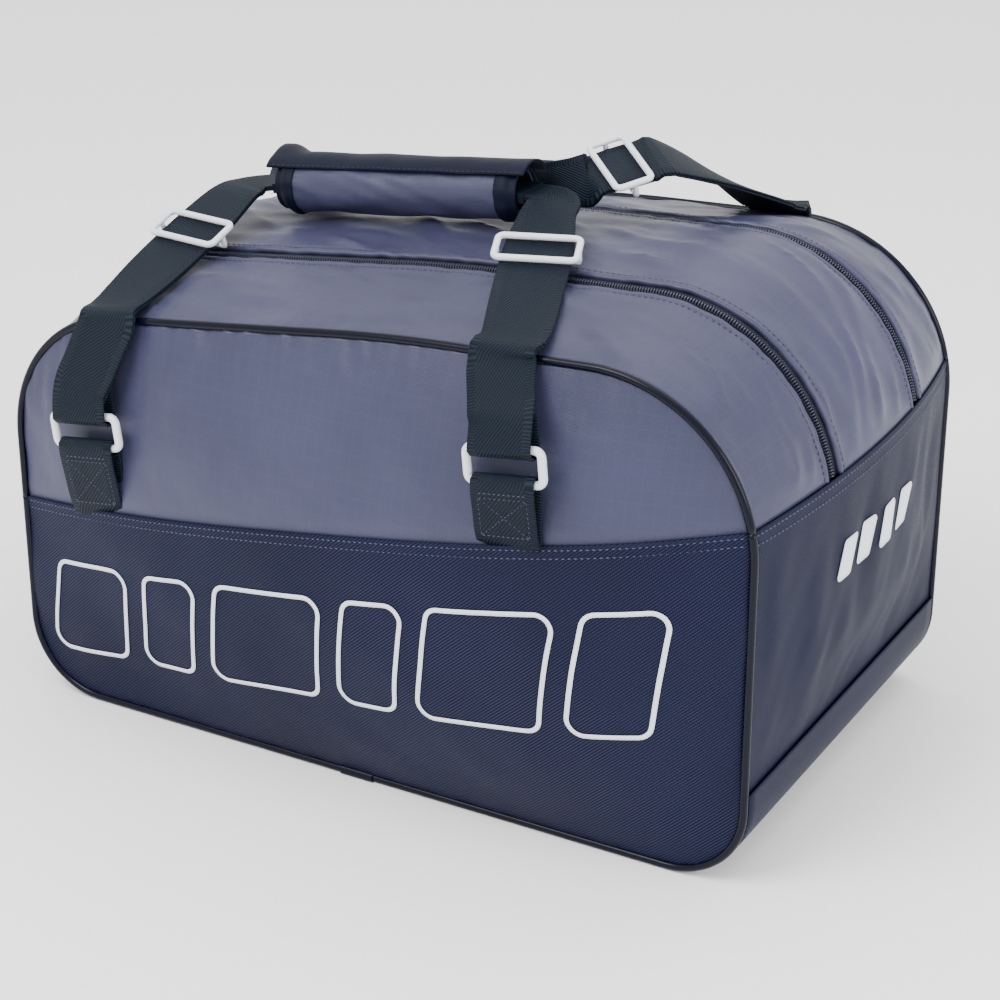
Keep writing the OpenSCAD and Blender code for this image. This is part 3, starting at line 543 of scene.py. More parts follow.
# ---- Front and rear panels
def coons(bottom, top, left, right):
    """Grid of points inside four edges: bottom and top run along, left and right run up."""
    nu, nv = len(bottom) - 1, len(left) - 1
    u = np.linspace(0, 1, nu + 1)[None, :, None]
    v = np.linspace(0, 1, nv + 1)[:, None, None]
    ruled_v = (1 - v) * bottom[None] + v * top[None]
    ruled_u = (1 - u) * left[:, None] + u * right[:, None]
    low = (1 - u) * (1 - v) * bottom[0] + u * (1 - v) * bottom[-1]
    return ruled_v + ruled_u - (low + (1 - u) * v * top[0] + u * v * top[-1])


PANEL_INSET = 1.2
TUCK = 5.0
CORNER_UP_LOW, CORNER_UP_HIGH = 104.0, 76.0
CORNER_DOWN_LOW, CORNER_DOWN_HIGH = 122.0, 212.0
SEAM_ROWS = (2.6, 7.4)
SEAM_STITCH = {"pitch": 3.6, "length": 2.3, "radius": 0.4}
SEAM_BULGE, SEAM_BULGE_FADE = 1.3, 9


def inset(path, by):
    return path - normals(path) * by


def upper_panel(side):
    edge = inset(resample(UPPER, 400), PANEL_INSET)
    length = lengths(edge)[-1]
    a = CORNER_UP_LOW
    b = length - CORNER_UP_HIGH
    nu, nv = 150, 40
    tucked = SEAM_UP[[0, 2]] * TUCK
    seam = resample([edge[0] - tucked, edge[-1] - tucked], nu)
    left = np.vstack([seam[:1], resample(edge, nv - 1, 0, a)])
    right = np.vstack([seam[-1:], resample(edge[::-1], nv - 1, 0, length - b)])
    flat = coons(seam, resample(edge, nu, a, b), left, right)
    x, z = flat[..., 0], flat[..., 1]
    below = top_z(x) - z
    gathers = waves(x, z * 0.25, 6.5, 3.1 + side) * np.exp(-below / 24) * 2.7
    gathers *= 0.35 + 0.65 * ease((60 - x) / 120)
    soft = waves(x, z, 55, 1.7 + side) * 2.2 + waves(x + z, z - x, 24, 8.2 + side) * 0.7
    up = z - seam_z(x)
    soft *= np.clip(below / 25, 0, 1) * ease(up / 26)
    points = face(x, z, gathers + soft - 0.9 * ease((8 - up) / 8))
    return cloth_piece(f"{side_name(side)}_panel_slate", mirrored(points, side), flat, SLATE, turned=side > 0)


def lower_panel(side):
    edge = inset(resample(LOWER, 400)[::-1], PANEL_INSET)[::-1]
    length = lengths(edge)[-1]
    a = CORNER_DOWN_LOW
    b = length - CORNER_DOWN_HIGH
    nu, nv = 150, 56
    seam = resample([edge[0], edge[-1]], nu)
    left = resample(edge, nv, 0, a)[::-1]
    flat = coons(resample(edge, nu, a, b), seam, left, resample(edge, nv, b, length))
    x, z = flat[..., 0], flat[..., 1]
    points = mirrored(face(x, z, lower_lift(x, z, side)), side)
    return cloth_piece(f"{side_name(side)}_panel_navy", points, flat, NAVY, side > 0, HEAVY_CLOTH)


def panel_stitches(side):
    """Two rows of stitches along the navy panel's top edge."""
    rows = []
    for down in SEAM_ROWS:
        x = np.linspace(-HALF_L + 4, HALF_L - 5, 200)
        z = seam_z(x) - down
        path = face(x, z, SEAM_BULGE * math.exp(-down / SEAM_BULGE_FADE) + 0.1)
        out = np.tile([0, side, 0.05], (len(path), 1))
        rows.append(stitches(mirrored(path, side), out, **SEAM_STITCH))
    return joined(f"{side_name(side)}_seam_stitches", rows, THREAD)


# ---- Piping
def piping(side, path, name):
    line = resample(path, int(lengths(path)[-1] / 3))
    points = np.stack([line[:, 0], np.full(len(line), side * HALF_D), line[:, 1]], axis=1)
    out = in_space(normals(line))
    across = np.tile([0, 1.0, 0], (len(line), 1))
    verts, faces = tube(points, np.full(len(line), PIPE_R - 0.05), (out, across))
    return make_object(name, verts, faces, VINYL)


# ---- Gusset
def gusset(name, path, y, shape, side, seed):
    """Strip of cloth over the top; y are its depths, shape its extra lift at each depth."""
    s = lengths(path)
    span = max(y) - min(y)
    yy, ss = np.meshgrid(y, s, indexing="ij")
    edge = np.minimum(yy - min(y), max(y) - yy)
    edge_fade = ease(edge / 12)
    puckers = waves(ss, yy * 0.3, 7.5, seed) * np.exp(-edge / 11) * 0.8
    drawn = waves(ss * 0.8 + yy, yy * 1.6 - ss * 0.35, 26, seed + 2) * 1.4 * edge_fade
    broad = waves(ss, yy, 60, seed + 5) * 2.2 * edge_fade
    folds = np.maximum(0, waves(ss * 0.55 + yy * 1.1, yy * 0.4 - ss * 0.15, 13, seed + 9))
    folds = folds**2 * 5.5 * edge_fade
    ends = ease(np.minimum(ss, s[-1] - ss) / 14)
    lift = np.asarray(shape)[:, None] + (puckers + drawn + broad + folds * min(1, span / 90)) * ends
    points = skin(path, y, lift)
    return cloth_piece(name, mirrored(points, side), np.stack([ss, yy], axis=2), SLATE, turned=side > 0)


def strip_depths(y0, y1, step=3.2):
    return np.linspace(y0, y1, max(4, int(abs(y1 - y0) / step)))


# Distance from the hem's folded edge, and lift.
HEM_SHAPE = np.array(
    [(0.0, -2.2), (0.35, -0.6), (1.0, 0.45), (2.2, 0.7)]
    + [(3.6, 0.25), (4.6, -0.25), (5.8, 0.15)]
)


def lid_strip(side):
    path = resample(UPPER, 260, 0.5, UPPER_L - 0.5)
    y = strip_depths(-HALF_D + 1.5, ZIP_Y - HEM - 7)
    depths = np.concatenate([y, ZIP_Y - HEM - HEM_SHAPE[::-1, 0]])
    shape = np.concatenate([np.zeros(len(y)), HEM_SHAPE[::-1, 1]])
    return gusset(f"{side_name(side)}_gusset_slate", path, depths, shape, side, 11.3 + side)


def centre_gusset():
    path = resample(UPPER, 280)
    inner = ZIP_Y + HEM
    hem = inner + HEM_SHAPE[:, 0]
    y = strip_depths(inner + 7, -inner - 7)
    depths = np.concatenate([hem, y, -hem[::-1]])
    shape = np.concatenate([HEM_SHAPE[:, 1], np.zeros(len(y)), HEM_SHAPE[::-1, 1]])
    return gusset("centre_gusset_slate", path, depths, shape, -1, 21.7)


def hem_stitches(side, inner):
    """Stitches beside a zip, on the lid's strip or on the centre strip (inner)."""
    path = resample(UPPER, 260, 1.0, UPPER_L - 1.0)
    y = ZIP_Y + HEM + 4.6 if inner else ZIP_Y - HEM - 4.6
    line = skin(path, [y], np.full((1, len(path)), 0.1))[0]
    out = in_space(normals(path))
    verts, faces = stitches(mirrored(line, side), out, pitch=3.8, length=2.6, radius=0.32)
    name = f"{side_name(side)}_hem_stitches_{'bag' if inner else 'lid'}"
    return make_object(name, verts, faces, THREAD_DARK, smooth=False)


# ---- Ends and base
END_BULGE = 1.1


def end_line(high):
    """Line of an end from the seam down to the base."""
    line = LOWER[(LOWER[:, 0] > 0) if high else (LOWER[:, 0] < 0)]
    line = line[line[:, 1] > BASE_RISE - 2]
    foot = [HALF_L if high else -HALF_L, BASE_RISE - 2]
    return resample(np.vstack([line[::-1], foot]) if high else np.vstack([line, foot]), 60)


def end_panel(high):
    path = end_line(high)
    path = path if high else path[::-1]
    y = strip_depths(-HALF_D + 1.5, HALF_D - 1.5, 3.6)
    s = lengths(path)
    d = s if high else s[-1] - s
    yy, dd = np.meshgrid(y, d, indexing="ij")
    points = skin(path, y, end_lift(yy, dd, high, s[-1]))
    name = "end_high" if high else "end_low"
    uv = np.stack([yy, -dd], axis=2)
    obj = cloth_piece(f"{name}_navy", points, uv, NAVY_END_PAINTED_LIGHT, thickness=HEAVY_CLOTH)
    rows = []
    for down in SEAM_ROWS:
        k = int(np.argmin(np.abs(d - down)))
        lift = END_BULGE * math.exp(-down / SEAM_BULGE_FADE) + 0.15
        line = skin(path[max(0, k - 1) : k + 2], y, lift)[:, 1 if k else 0]
        out = np.tile([1.0 if high else -1.0, 0, 0], (len(y), 1))
        rows.append(stitches(line, out, **SEAM_STITCH))
    return obj, joined(f"{name}_stitches", rows, THREAD)


def base_piece():
    line = LOWER[(LOWER[:, 1] < BASE_RISE)]
    line = np.vstack([[-HALF_L, BASE_RISE], line, [HALF_L, BASE_RISE]])[::-1]
    path = resample(line, 200)
    n = normals(path)
    y = strip_depths(-HALF_D + 2.6, HALF_D - 2.6, 9)
    points = lifted_rows(path, n, y[:, None], np.full((len(y), len(path)), PIPE_R - 0.2))
    yy, ss = np.meshgrid(y, lengths(path), indexing="ij")
    return cloth_piece("base_navy", points, np.stack([ss, yy], axis=2), NAVY_END_PAINTED_LIGHT)


# ---- Zips
TOOTH = np.array(
    [(-1, 0, 0), (1, 0, 0), (1, 1, 0), (-1, 1, 0)]
    + [(-0.6, 0.12, 1), (0.6, 0.12, 1), (0.6, 0.8, 0.8), (-0.6, 0.8, 0.8)]
)
TOOTH_FACES = [(0, 3, 2, 1), (0, 1, 5, 4), (1, 2, 6, 5), (2, 3, 7, 6), (3, 0, 4, 7), (4, 5, 6, 7)]
TOOTH_PITCH = 1.7
TOOTH_HALF, TOOTH_WIDTH, TOOTH_HEIGHT = 0.62, 2.7, 2.2
TAPE_LIFT, COIL_LIFT = -2.4, -2.35


def zip_half(side, lid):
    """Tape and coil of one half of a zip; lid is the half that opens."""
    sign = -1 if lid else 1
    path = resample(UPPER, 300)
    y = np.array([ZIP_Y + sign * d for d in (0.15, 4.0, HEM + 4.0)])
    y = y[::-1] if lid else y
    yy, ss = np.meshgrid(y, lengths(path), indexing="ij")
    name = f"{side_name(side)}_zip_{{}}_{'lid' if lid else 'bag'}"
    points = mirrored(skin(path, y, np.full(yy.shape, TAPE_LIFT)), side)
    uv = np.stack([ss, yy], axis=2)
    tape = cloth_piece(name.format("tape"), points, uv, ZIP_TAPE, turned=side > 0, thickness=0.7)
    line = skin(path, [ZIP_Y], np.full((1, len(path)), COIL_LIFT))[0]
    s = lengths(line)
    count = int(s[-1] / TOOTH_PITCH)
    at = (np.arange(count) + (0.5 if lid else 0.0) + 0.25) * TOOTH_PITCH
    up = unit(sample(at, s, in_space(normals(path))))
    along = unit(sample(at, s, tangents(line)))
    across = np.array([0, float(sign), 0])
    x, y, z = TOOTH[:, :1], TOOTH[:, 1:2], TOOTH[:, 2:]
    parts = []
    for p, u, t in zip(sample(at, s, line), up, along):
        tooth = p + x * t * TOOTH_HALF + y * across * TOOTH_WIDTH + z * u * TOOTH_HEIGHT
        parts.append((mirrored(tooth, side), TOOTH_FACES))
    return tape, joined(name.format("coil"), parts, COIL)


# ---- Rings, tabs and straps
LAYER = 1.55
EYE = BAR / 2 + 0.7 + LAYER / 2
RING_TOP = RING_GAP + BAR
RING_W = WEB_W + 3.0 + BAR
GRIP_SIDE = GRIP_R + 1.0 + 1.0 + 3.0 + 1.0
REAR_SHIFT = np.array([0, GRIP_SIDE, 0])
CORE_REACH = GRIP_L / 2 + 4
CORE_W = 25.0
Y_UP = np.array([0.0, 1.0, 0.0])


def ribbon(name, route, shift=0.0, thickness=LAYER, step=3.0):
    """Flat webbing along a route of (point, direction of its width, width), moved by shift off its middle."""
    data = spline([list(p) + list(w) + [width] for p, w, width in route], step)
    p = data[:, :3]
    width = data[:, 6]
    t = tangents(p)
    w = unit(data[:, 3:6] - t * np.sum(data[:, 3:6] * t, axis=1, keepdims=True))
    n = np.cross(t, w)
    p = p + n * shift
    half = [(-0.5, 0.2), (-0.488, 0.5), (-0.3, 0.5), (0, 0.5), (0.3, 0.5), (0.488, 0.5), (0.5, 0.2)]
    profile = half + [(a, -b) for a, b in half[::-1]]
    rings = np.stack([p + w * (a * width)[:, None] + n * (b * thickness) for a, b in profile])
    rows, cols = rings.shape[:2]
    s = lengths(p)
    uv = np.stack([np.stack([np.full(cols, (a + 0.5) * WEB_W), s], axis=1) for a, _ in profile])
    ends = [tuple(k * cols for k in range(rows))]
    ends.append(tuple(k * cols + cols - 1 for k in range(rows))[::-1])
    faces = grid_faces(rows, cols, wrap=True) + ends
    obj = make_object(name, rings.reshape(-1, 3), faces, WEBBING, uv.reshape(-1, 2) * MM)
    obj.modifiers.new("split", "EDGE_SPLIT").split_angle = math.radians(50)
    return bake_modifiers(obj)


def ring_frame(x, tab_length):
    """A ring's lower bar and the place on the seam below it, as the CAD model has them."""
    foot_z = float(seam_z(x))
    z = foot_z + tab_length
    bulge = max(float(swell(x, z)), float(swell(x, z - tab_length / 2)))
    bar = np.array([x, -HALF_D - bulge - BAR_STAND, z])
    return bar, np.array([x, -HALF_D - float(swell(x, foot_z)) - BAR_STAND, foot_z])


LOW_BAR, LOW_FOOT = ring_frame(LOW_RING_X, LOW_TAB)
HIGH_BAR, HIGH_FOOT = ring_frame(HIGH_RING_X, HIGH_TAB)
BAR_DIR = unit(HIGH_BAR - LOW_BAR)


def tab_up(bar, foot):
    v = bar - foot
    return unit(v - BAR_DIR * (v @ BAR_DIR))


def loop_route(centre, up, fwd, start, finish, count=9):
    """Points of webbing round a bar, at angles from straight ahead."""
    angles = np.linspace(start, finish, count)
    return [centre + (fwd * math.cos(a) + up * math.sin(a)) * EYE for a in angles]


def box_and_cross(half, near, far):
    """Lines of a sewn box with a cross in it, and a second line over its top."""
    a, b, c, d = (-half, near), (half, near), (-half, far), (half, far)
    return [(a, b), (a, d), (b, c), (c, d), (a, c), (b, d), ((-half, near - 3), (half, near - 3))]


def tab(side, bar, foot, name):
    """Webbing tab: up from the seam, round the ring's lower bar and down again behind itself."""
    up = tab_up(bar, foot)
    fwd = -np.cross(up, BAR_DIR)
    drop = float((bar - foot) @ up)
    root = face(bar[0], seam_z(bar[0]) + 0.5, 0.1)
    top = bar + fwd * EYE
    front = [root - up * 3 - fwd * 0.6, root] + [root + (top - root) * k + fwd * 0.9 for k in (0.2, 0.5, 0.8)]
    back = [bar - fwd * EYE + (root - bar + fwd * (EYE - 1.8)) * k for k in (0.3, 0.6, 0.95)]
    points = front + loop_route(bar, up, fwd, 0, math.pi) + back
    route = [(p, -BAR_DIR, WEB_W) for p in points]
    if side > 0:
        route = [(flip(p), flip(BAR_DIR), width) for p, _, width in route]
    obj = ribbon(name, route, step=2.5)
    parts = []
    for (u0, d0), (u1, d1) in box_and_cross(WEB_W / 2 - 4.5, 9.0, drop - 5):
        k = np.linspace(0, 1, 12)[:, None]
        d = d0 + (d1 - d0) * k
        path = top + (root - top) * d / drop + BAR_DIR * (u0 + (u1 - u0) * k) + fwd * (LAYER / 2 + 0.95)
        out = np.tile(fwd, (12, 1))
        parts.append(stitches(mirrored(path, side), mirrored(out, side), pitch=3.0, length=2.0, radius=0.32))
    return obj, joined(name + "_stitches", parts, THREAD)


def closed_tube(name, path, radius, material, sides=12):
    """Rounded bar along a closed flat loop of points."""
    path = np.asarray(path, float)
    t = unit(np.roll(path, -1, axis=0) - np.roll(path, 1, axis=0))
    flat = unit(np.cross(path[1] - path[0], path[len(path) // 3] - path[0]))
    b = np.tile(flat, (len(path), 1))
    a = np.cross(t, b)
    count = len(path)
    verts = ring_points(path, a, b, np.full(count, radius), sides)
    faces = []
    for i in range(count):
        faces += band(sides, i, (i + 1) % count)
    return make_object(name, verts, faces, material)


def rectangle(centre, x, y, w, h, r, n=6):
    """Loop of a rectangle with round corners."""
    points = []
    for k, (sx, sy) in enumerate(((1, 1), (-1, 1), (-1, -1), (1, -1))):
        for i in range(n + 1):
            a = math.pi / 2 * (k + i / n)
            along = sx * (w / 2 - r) + r * math.cos(a)
            points.append(centre + x * along + y * (sy * (h / 2 - r) + r * math.sin(a)))
    return points


def ring(side, bar, foot, name):
    up = tab_up(bar, foot)
    path = rectangle(bar + up * RING_TOP / 2, BAR_DIR, up, RING_W, RING_TOP, 4.0)
    return closed_tube(name, mirrored(np.array(path), side), BAR / 2, WHITE_PLASTIC)


# ---- Routes of the straps, as in part.scad
STRAP_STAND = WEB_SLACK + WEB_HALF
EDGE_STAND = PIPE_R + STRAP_STAND + 1.8
LOW_EDGE_X = LOW_RING_X + 7
HIGH_EDGE_X = HIGH_RING_X - 19
REAR_HIGH_EDGE_X = HIGH_RING_X + 13
ROOF_Y = HALF_D - 10
SQUARE_STRETCH = 11
EDGE_TURNS = (0, 40, 75)

SLOPE = float(roof_z(GRIP_X + GRIP_L / 2, 0) - roof_z(GRIP_X - GRIP_L / 2, 0)) / GRIP_L
GRIP_DIR = unit([1, 0, SLOPE])
GRIP_UP = unit([-SLOPE, 0, 1])
FLAP_R = GRIP_R + 2.5


def roof_rise(dx):
    """How far the roof stands over the straight line under the grip."""
    return float(roof_z(GRIP_X + dx, 0) - roof_z(GRIP_X, 0)) - SLOPE * dx


GRIP_RISE = max(roof_rise(k * GRIP_L / 8) for k in range(-4, 5))
GRIP_MID = np.array([GRIP_X, 0, float(roof_z(GRIP_X, 0))]) + GRIP_UP * (GRIP_RISE + FLAP_R + 1)
LEFT_END = GRIP_MID - GRIP_DIR * CORE_REACH
RIGHT_END = GRIP_MID + GRIP_DIR * CORE_REACH


def edge_dir(x):
    return unit([24, 0, float(top_z(x + 12) - top_z(x - 12))])


def edge_out(x, angle):
    n = np.cross(edge_dir(x), Y_UP)
    a = math.radians(angle)
    return np.array([n[0] * math.sin(a), -math.cos(a), n[2] * math.sin(a)])


def strap_start(bar, foot, edge_x):
    up = tab_up(bar, foot)
    rise = RING_GAP + BAR + BAR / math.sqrt(2) + LOOP_SLACK + 0.6
    start = bar + up * rise + Y_UP * (BAR_STAND - STRAP_STAND - 2 * WEB_HALF)
    straight = start + up * SQUARE_STRETCH
    edge = np.array([edge_x, -HALF_D, float(top_z(edge_x))])
    over = lambda angle: edge + edge_out(edge_x, angle) * EDGE_STAND
    roof = np.array([edge_x, -ROOF_Y, float(roof_z(edge_x, ROOF_Y))])
    roof = roof + edge_out(edge_x, 90) * (STRAP_STAND + 2.5)
    route = [(start, -BAR_DIR, WEB_W), (straight, -BAR_DIR, WEB_W)]
    for t in (0.35, 0.7):
        across = -unit(BAR_DIR + (edge_dir(edge_x) - BAR_DIR) * t)
        route.append((straight + (over(0) - straight) * t, across, WEB_W))
    route += [(over(a), -edge_dir(edge_x), WEB_W) for a in EDGE_TURNS]
    return route + [(roof, -edge_dir(edge_x), WEB_W)]


def strap_reach(top, aim):
    across = -unit(np.cross(unit(aim - top), [0, 0, 1]))
    width = lambda t: WEB_W - 9 * max(0, t - 0.7) / 0.3
    return [(top + (aim - top) * t, across, width(t)) for t in (0.3, 0.65, 0.94)]


def strap_finish(reach, end, way, across):
    """The route with its last stretch, where the strap is folded narrow and turns into the grip."""
    p, a, w = reach[-1]
    across = np.asarray(across, float)
    near = end - GRIP_DIR * way * 2
    corner = near + GRIP_DIR * float((p - near) @ GRIP_DIR)
    turned = []
    for t in (0.35, 0.7, 1.0):
        q = p * (1 - t) ** 2 + corner * 2 * t * (1 - t) + near * t * t
        turned.append((q, unit(np.asarray(a) * (1 - t) + across * t), w + (CORE_W - w) * t))
    return reach + turned + [(end + GRIP_DIR * way * 10, across, CORE_W - 3)]


def ring_loop(route, bar, foot):
    """The route with its webbing first led round the ring's upper bar."""
    up = tab_up(bar, foot)
    fwd = -np.cross(up, BAR_DIR)
    eye = bar + up * RING_TOP
    behind = [eye - fwd * (EYE + 1.0) + up * k for k in (18, 9, 3)]
    loop = loop_route(eye, up, fwd, -math.pi, 0, 9)
    return [(p, -BAR_DIR, WEB_W) for p in behind + loop] + route[1:]


def rear(route):
    return [(flip(p), -flip(w), width) for p, w, width in route]


LOW_START = strap_start(LOW_BAR, LOW_FOOT, LOW_EDGE_X)
HIGH_START = strap_start(HIGH_BAR, HIGH_FOOT, HIGH_EDGE_X)
REAR_HIGH_START = strap_start(HIGH_BAR, HIGH_FOOT, REAR_HIGH_EDGE_X)
LAST = len(LOW_START) - 1
LOW_ROOF, HIGH_ROOF = LOW_START[LAST][0], HIGH_START[LAST][0]
REAR_LOW_ROOF = flip(LOW_ROOF)
FRONT_LEFT_REACH = strap_reach(LOW_ROOF, LEFT_END + [-20, -17, -1])
FRONT_RIGHT_REACH = strap_reach(HIGH_ROOF, RIGHT_END + [20, -17, -1])
REAR_LEFT_REACH = strap_reach(REAR_LOW_ROOF, LEFT_END + [-20, GRIP_SIDE + 22, -2])
FRONT_LEFT_END = strap_finish(FRONT_LEFT_REACH, LEFT_END, 1, [0, 1, 0])
FRONT_RIGHT_END = strap_finish(FRONT_RIGHT_REACH, RIGHT_END, -1, [0, -1, 0])
REAR_LEFT_END = strap_finish(REAR_LEFT_REACH, LEFT_END + REAR_SHIFT, 1, [0, 0, 1])


def rear_slack(dx, y, lift):
    x = GRIP_X + GRIP_L / 2 + dx
    return np.array([x, y, float(roof_z(x, y)) + lift])


PEAK = rear_slack(57, 53, 38)
REAR_SLIDE = rear_slack(39, 36, 32)
REAR_RUN = unit(REAR_SLIDE - PEAK)
REAR_ACROSS = unit([0.74, -0.62, -0.25])
SLIDE_REACH = 17.0
REAR_TOP = flip(REAR_HIGH_START[LAST][0])
REAR_RIGHT_REACH = [
    (REAR_TOP + (PEAK - REAR_TOP) * 0.55 + [0, 0, 3], np.array([0.9, -0.4, -0.15]), WEB_W),
    (PEAK, REAR_ACROSS, WEB_W),
    (REAR_SLIDE - REAR_RUN * SLIDE_REACH, REAR_ACROSS, WEB_W),
    (REAR_SLIDE, REAR_ACROSS, WEB_W),
    (REAR_SLIDE + REAR_RUN * SLIDE_REACH, REAR_ACROSS, WEB_W - 2),
]
REAR_RIGHT_END = strap_finish(REAR_RIGHT_REACH, RIGHT_END + REAR_SHIFT, -1, [0, 0, -1])
STRAPS = {
    "front_strap_left": (LOW_START, LOW_BAR, LOW_FOOT, FRONT_LEFT_END),
    "front_strap_right": (HIGH_START, HIGH_BAR, HIGH_FOOT, FRONT_RIGHT_END),
    "rear_strap_left": (LOW_START, LOW_BAR, LOW_FOOT, REAR_LEFT_END),
    "rear_strap_right": (REAR_HIGH_START, HIGH_BAR, HIGH_FOOT, REAR_RIGHT_END),
}
SLIDES = {
    "front_slide_left": (LOW_ROOF, FRONT_LEFT_END, 0.62),
    "front_slide_right": (HIGH_ROOF, FRONT_RIGHT_END, 0.66),
    "rear_slide_left": (REAR_LOW_ROOF, REAR_LEFT_END, 0.5),
}


def strap(node, start, bar, foot, end):
    """A doubled strap: the outer layer also makes the loop round the ring."""
    looped = ring_loop(start, bar, foot)
    plain = start[1:]
    body = "front_handle"
    if node.startswith("rear"):
        looped = rear(looped)
        plain = rear(plain)
        body = "rear_handle"
    apart = LAYER / 2 + 0.02
    outer = ribbon(f"{node}_webbing_outer", looped + end, shift=apart)
    inner = ribbon(f"{node}_webbing_inner", plain + end, shift=-apart)
    to_body(outer, body, "navy_webbing", node)
    to_body(inner, body, "navy_webbing")


SLIDE_STAND, SLIDE_THICK, SLIDE_W, SLIDE_H = 2.2, 2.0, WEB_W + 3.0 + 4.0, 22.0
SLIDE_BAR_POINTS = 41


def slide_piece(node, at, run, across):
    """Strap slide: a frame over the strap and a bar under it."""
    square = unit(run - across * float(run @ across))
    out = np.cross(across, square)
    over = out * (SLIDE_STAND + SLIDE_THICK)
    under = out * (SLIDE_STAND + 1.4)
    aside = across * SLIDE_W / 2
    path = rectangle(at + over, across, square, SLIDE_W, SLIDE_H, 3.6)
    frame_piece = closed_tube(f"{node}_plastic", path, SLIDE_THICK, WHITE_PLASTIC)
    bar_path = [at - aside + over, at - aside - under, at + aside - under, at + aside + over]
    bar_path = resample(bar_path, SLIDE_BAR_POINTS - 1)
    frames = (np.tile(square, (SLIDE_BAR_POINTS, 1)), unit(np.cross(tangents(bar_path), square)))
    verts, faces = tube(bar_path, np.full(SLIDE_BAR_POINTS, SLIDE_THICK - 0.3), frames)
    bar_piece = make_object(f"{node}_plastic_bar", verts, faces, WHITE_PLASTIC)
    to_body(frame_piece, node, "white_plastic", node)
    to_body(bar_piece, node, "white_plastic")


def slide_on(top, end, share):
    """Place, run and width direction of a slide, at a share of the strap's straight stretch."""
    stretch = end[2][0] - top
    return top + stretch * share, unit(stretch), -end[0][1]


def rear_core():
    """Three layers of folded webbing that lie beside the grip."""
    places = (LEFT_END - GRIP_DIR, GRIP_MID - GRIP_DIR * 40, GRIP_MID + GRIP_DIR * 40, RIGHT_END + GRIP_DIR)
    route = [(p + REAR_SHIFT, np.array([0, 0, 1.0]), CORE_W) for p in places]
    for k, shift in enumerate((-1.7, 0.0, 1.7)):
        piece = ribbon(f"rear_core_webbing_{k}", route, shift=shift, thickness=WEB_HALF)
        to_body(piece, "rear_handle", "navy_webbing", *(["rear_strap_core"] if k == 0 else []))


# ---- Grip
def on_grip(s, angle, r):
    """Points round the grip: s along it, angle from its top towards the rear."""
    s, angle, r = np.broadcast_arrays(s, angle, r)
    out = GRIP_UP * np.cos(angle)[..., None] + Y_UP * np.sin(angle)[..., None]
    return GRIP_MID + GRIP_DIR * s[..., None] + out * r[..., None]


def round_cloth(name, s, r, material, arc=(0, 2 * math.pi), thickness=CLOTH, sides=48):
    """Sleeve of cloth round the grip; r is an array over s and the angle."""
    span = np.linspace(*arc, sides + 1)
    ss, aa = np.meshgrid(s, span, indexing="ij")
    points = on_grip(ss, aa, r(ss, aa))
    uv = np.stack([ss, aa * GRIP_R], axis=2)
    return cloth_piece(name, points, uv, material, turned=True, thickness=thickness)


def pad_radius(s, a):
    ends = ease((GRIP_L / 2 - np.abs(s)) / 9)
    ring_a = np.cos(a) * 22
    ring_b = np.sin(a) * 22
    wrinkle = waves(s * 0.45 + ring_a, ring_b + s * 0.2, 9, 51.0) * 0.9
    wrinkle = wrinkle + waves(s * 0.5 + ring_b, ring_a, 20, 53.0)
    gather = waves(ring_a * 1.4, ring_b * 1.4, 5, 55.0) * 0.7
    gather = gather * np.exp(-(GRIP_L / 2 - np.abs(s) - 10) / 12)
    return np.minimum((GRIP_R - 1.0) * (0.8 + 0.2 * ends) + (wrinkle + gather) * ends, GRIP_R + 1.0)


def flap_radius(s, a):
    """The flap lies round the pad, and its low corner stands up."""
    corner = 7.0 * ease((-s - GRIP_L / 2 + 16) / 18) * ease((a + 0.3) / 1.2)
    return FLAP_R - 0.4 + waves(s, a * 20, 22, 63.0) * 0.7 + corner


def along_grip(past, count):
    return np.linspace(-GRIP_L / 2 - past, GRIP_L / 2 + past, count)


def grip_bindings():
    for sign, name in ((-1, "left"), (1, "right")):
        s = sign * np.linspace(GRIP_L / 2 - 13, GRIP_L / 2, 14)
        inner = lambda ss: np.minimum(np.abs(ss), GRIP_L / 2 - 3) * sign
        radius = lambda ss, aa: pad_radius(inner(ss), aa) + 1.3
        label = f"grip_binding_{name}"
        binding = round_cloth(f"{label}_navy", s[::sign], radius, NAVY_PLAIN, thickness=1.6)
        to_body(binding, "front_handle", "navy_fabric", label)


def grip_flap():
    s = along_grip(6, 90)
    flap = round_cloth("grip_flap_navy", s, flap_radius, NAVY_PLAIN, (-0.75, 1.05), 1.5, 16)
    to_body(flap, "front_handle", "navy_fabric", "grip_flap")


def flap_stitches():
    rows = []
    for edge in (-0.68, 0.98):
        s = along_grip(3, 80)
        a = np.full(80, edge)
        path = on_grip(s, a, flap_radius(s, a) + 0.1)
        out = np.tile(GRIP_UP * math.cos(edge) + Y_UP * math.sin(edge), (80, 1))
        rows.append(stitches(path, out, pitch=3.6, length=2.4, radius=0.3))
    to_body(joined("grip_flap_stitches", rows, THREAD_DARK), "front_handle", "navy_fabric")


def grip_fastener():
    s = along_grip(-13, 30)
    radius = lambda ss, aa: np.full(ss.shape, GRIP_R + 1.4)
    strip = round_cloth("grip_fastener_navy", s, radius, NAVY_PLAIN, (-0.3, 0.3), 1.0, 8)
    to_body(strip, "front_handle", "navy_fabric", "grip_fastener_strip")


def grip():
    pad = round_cloth("grip_pad_slate", along_grip(-3, 110), pad_radius, SLATE)
    to_body(pad, "front_handle", "slate_nylon", "grip_pad")
    grip_bindings()
    grip_flap()
    grip_fastener()
    flap_stitches()


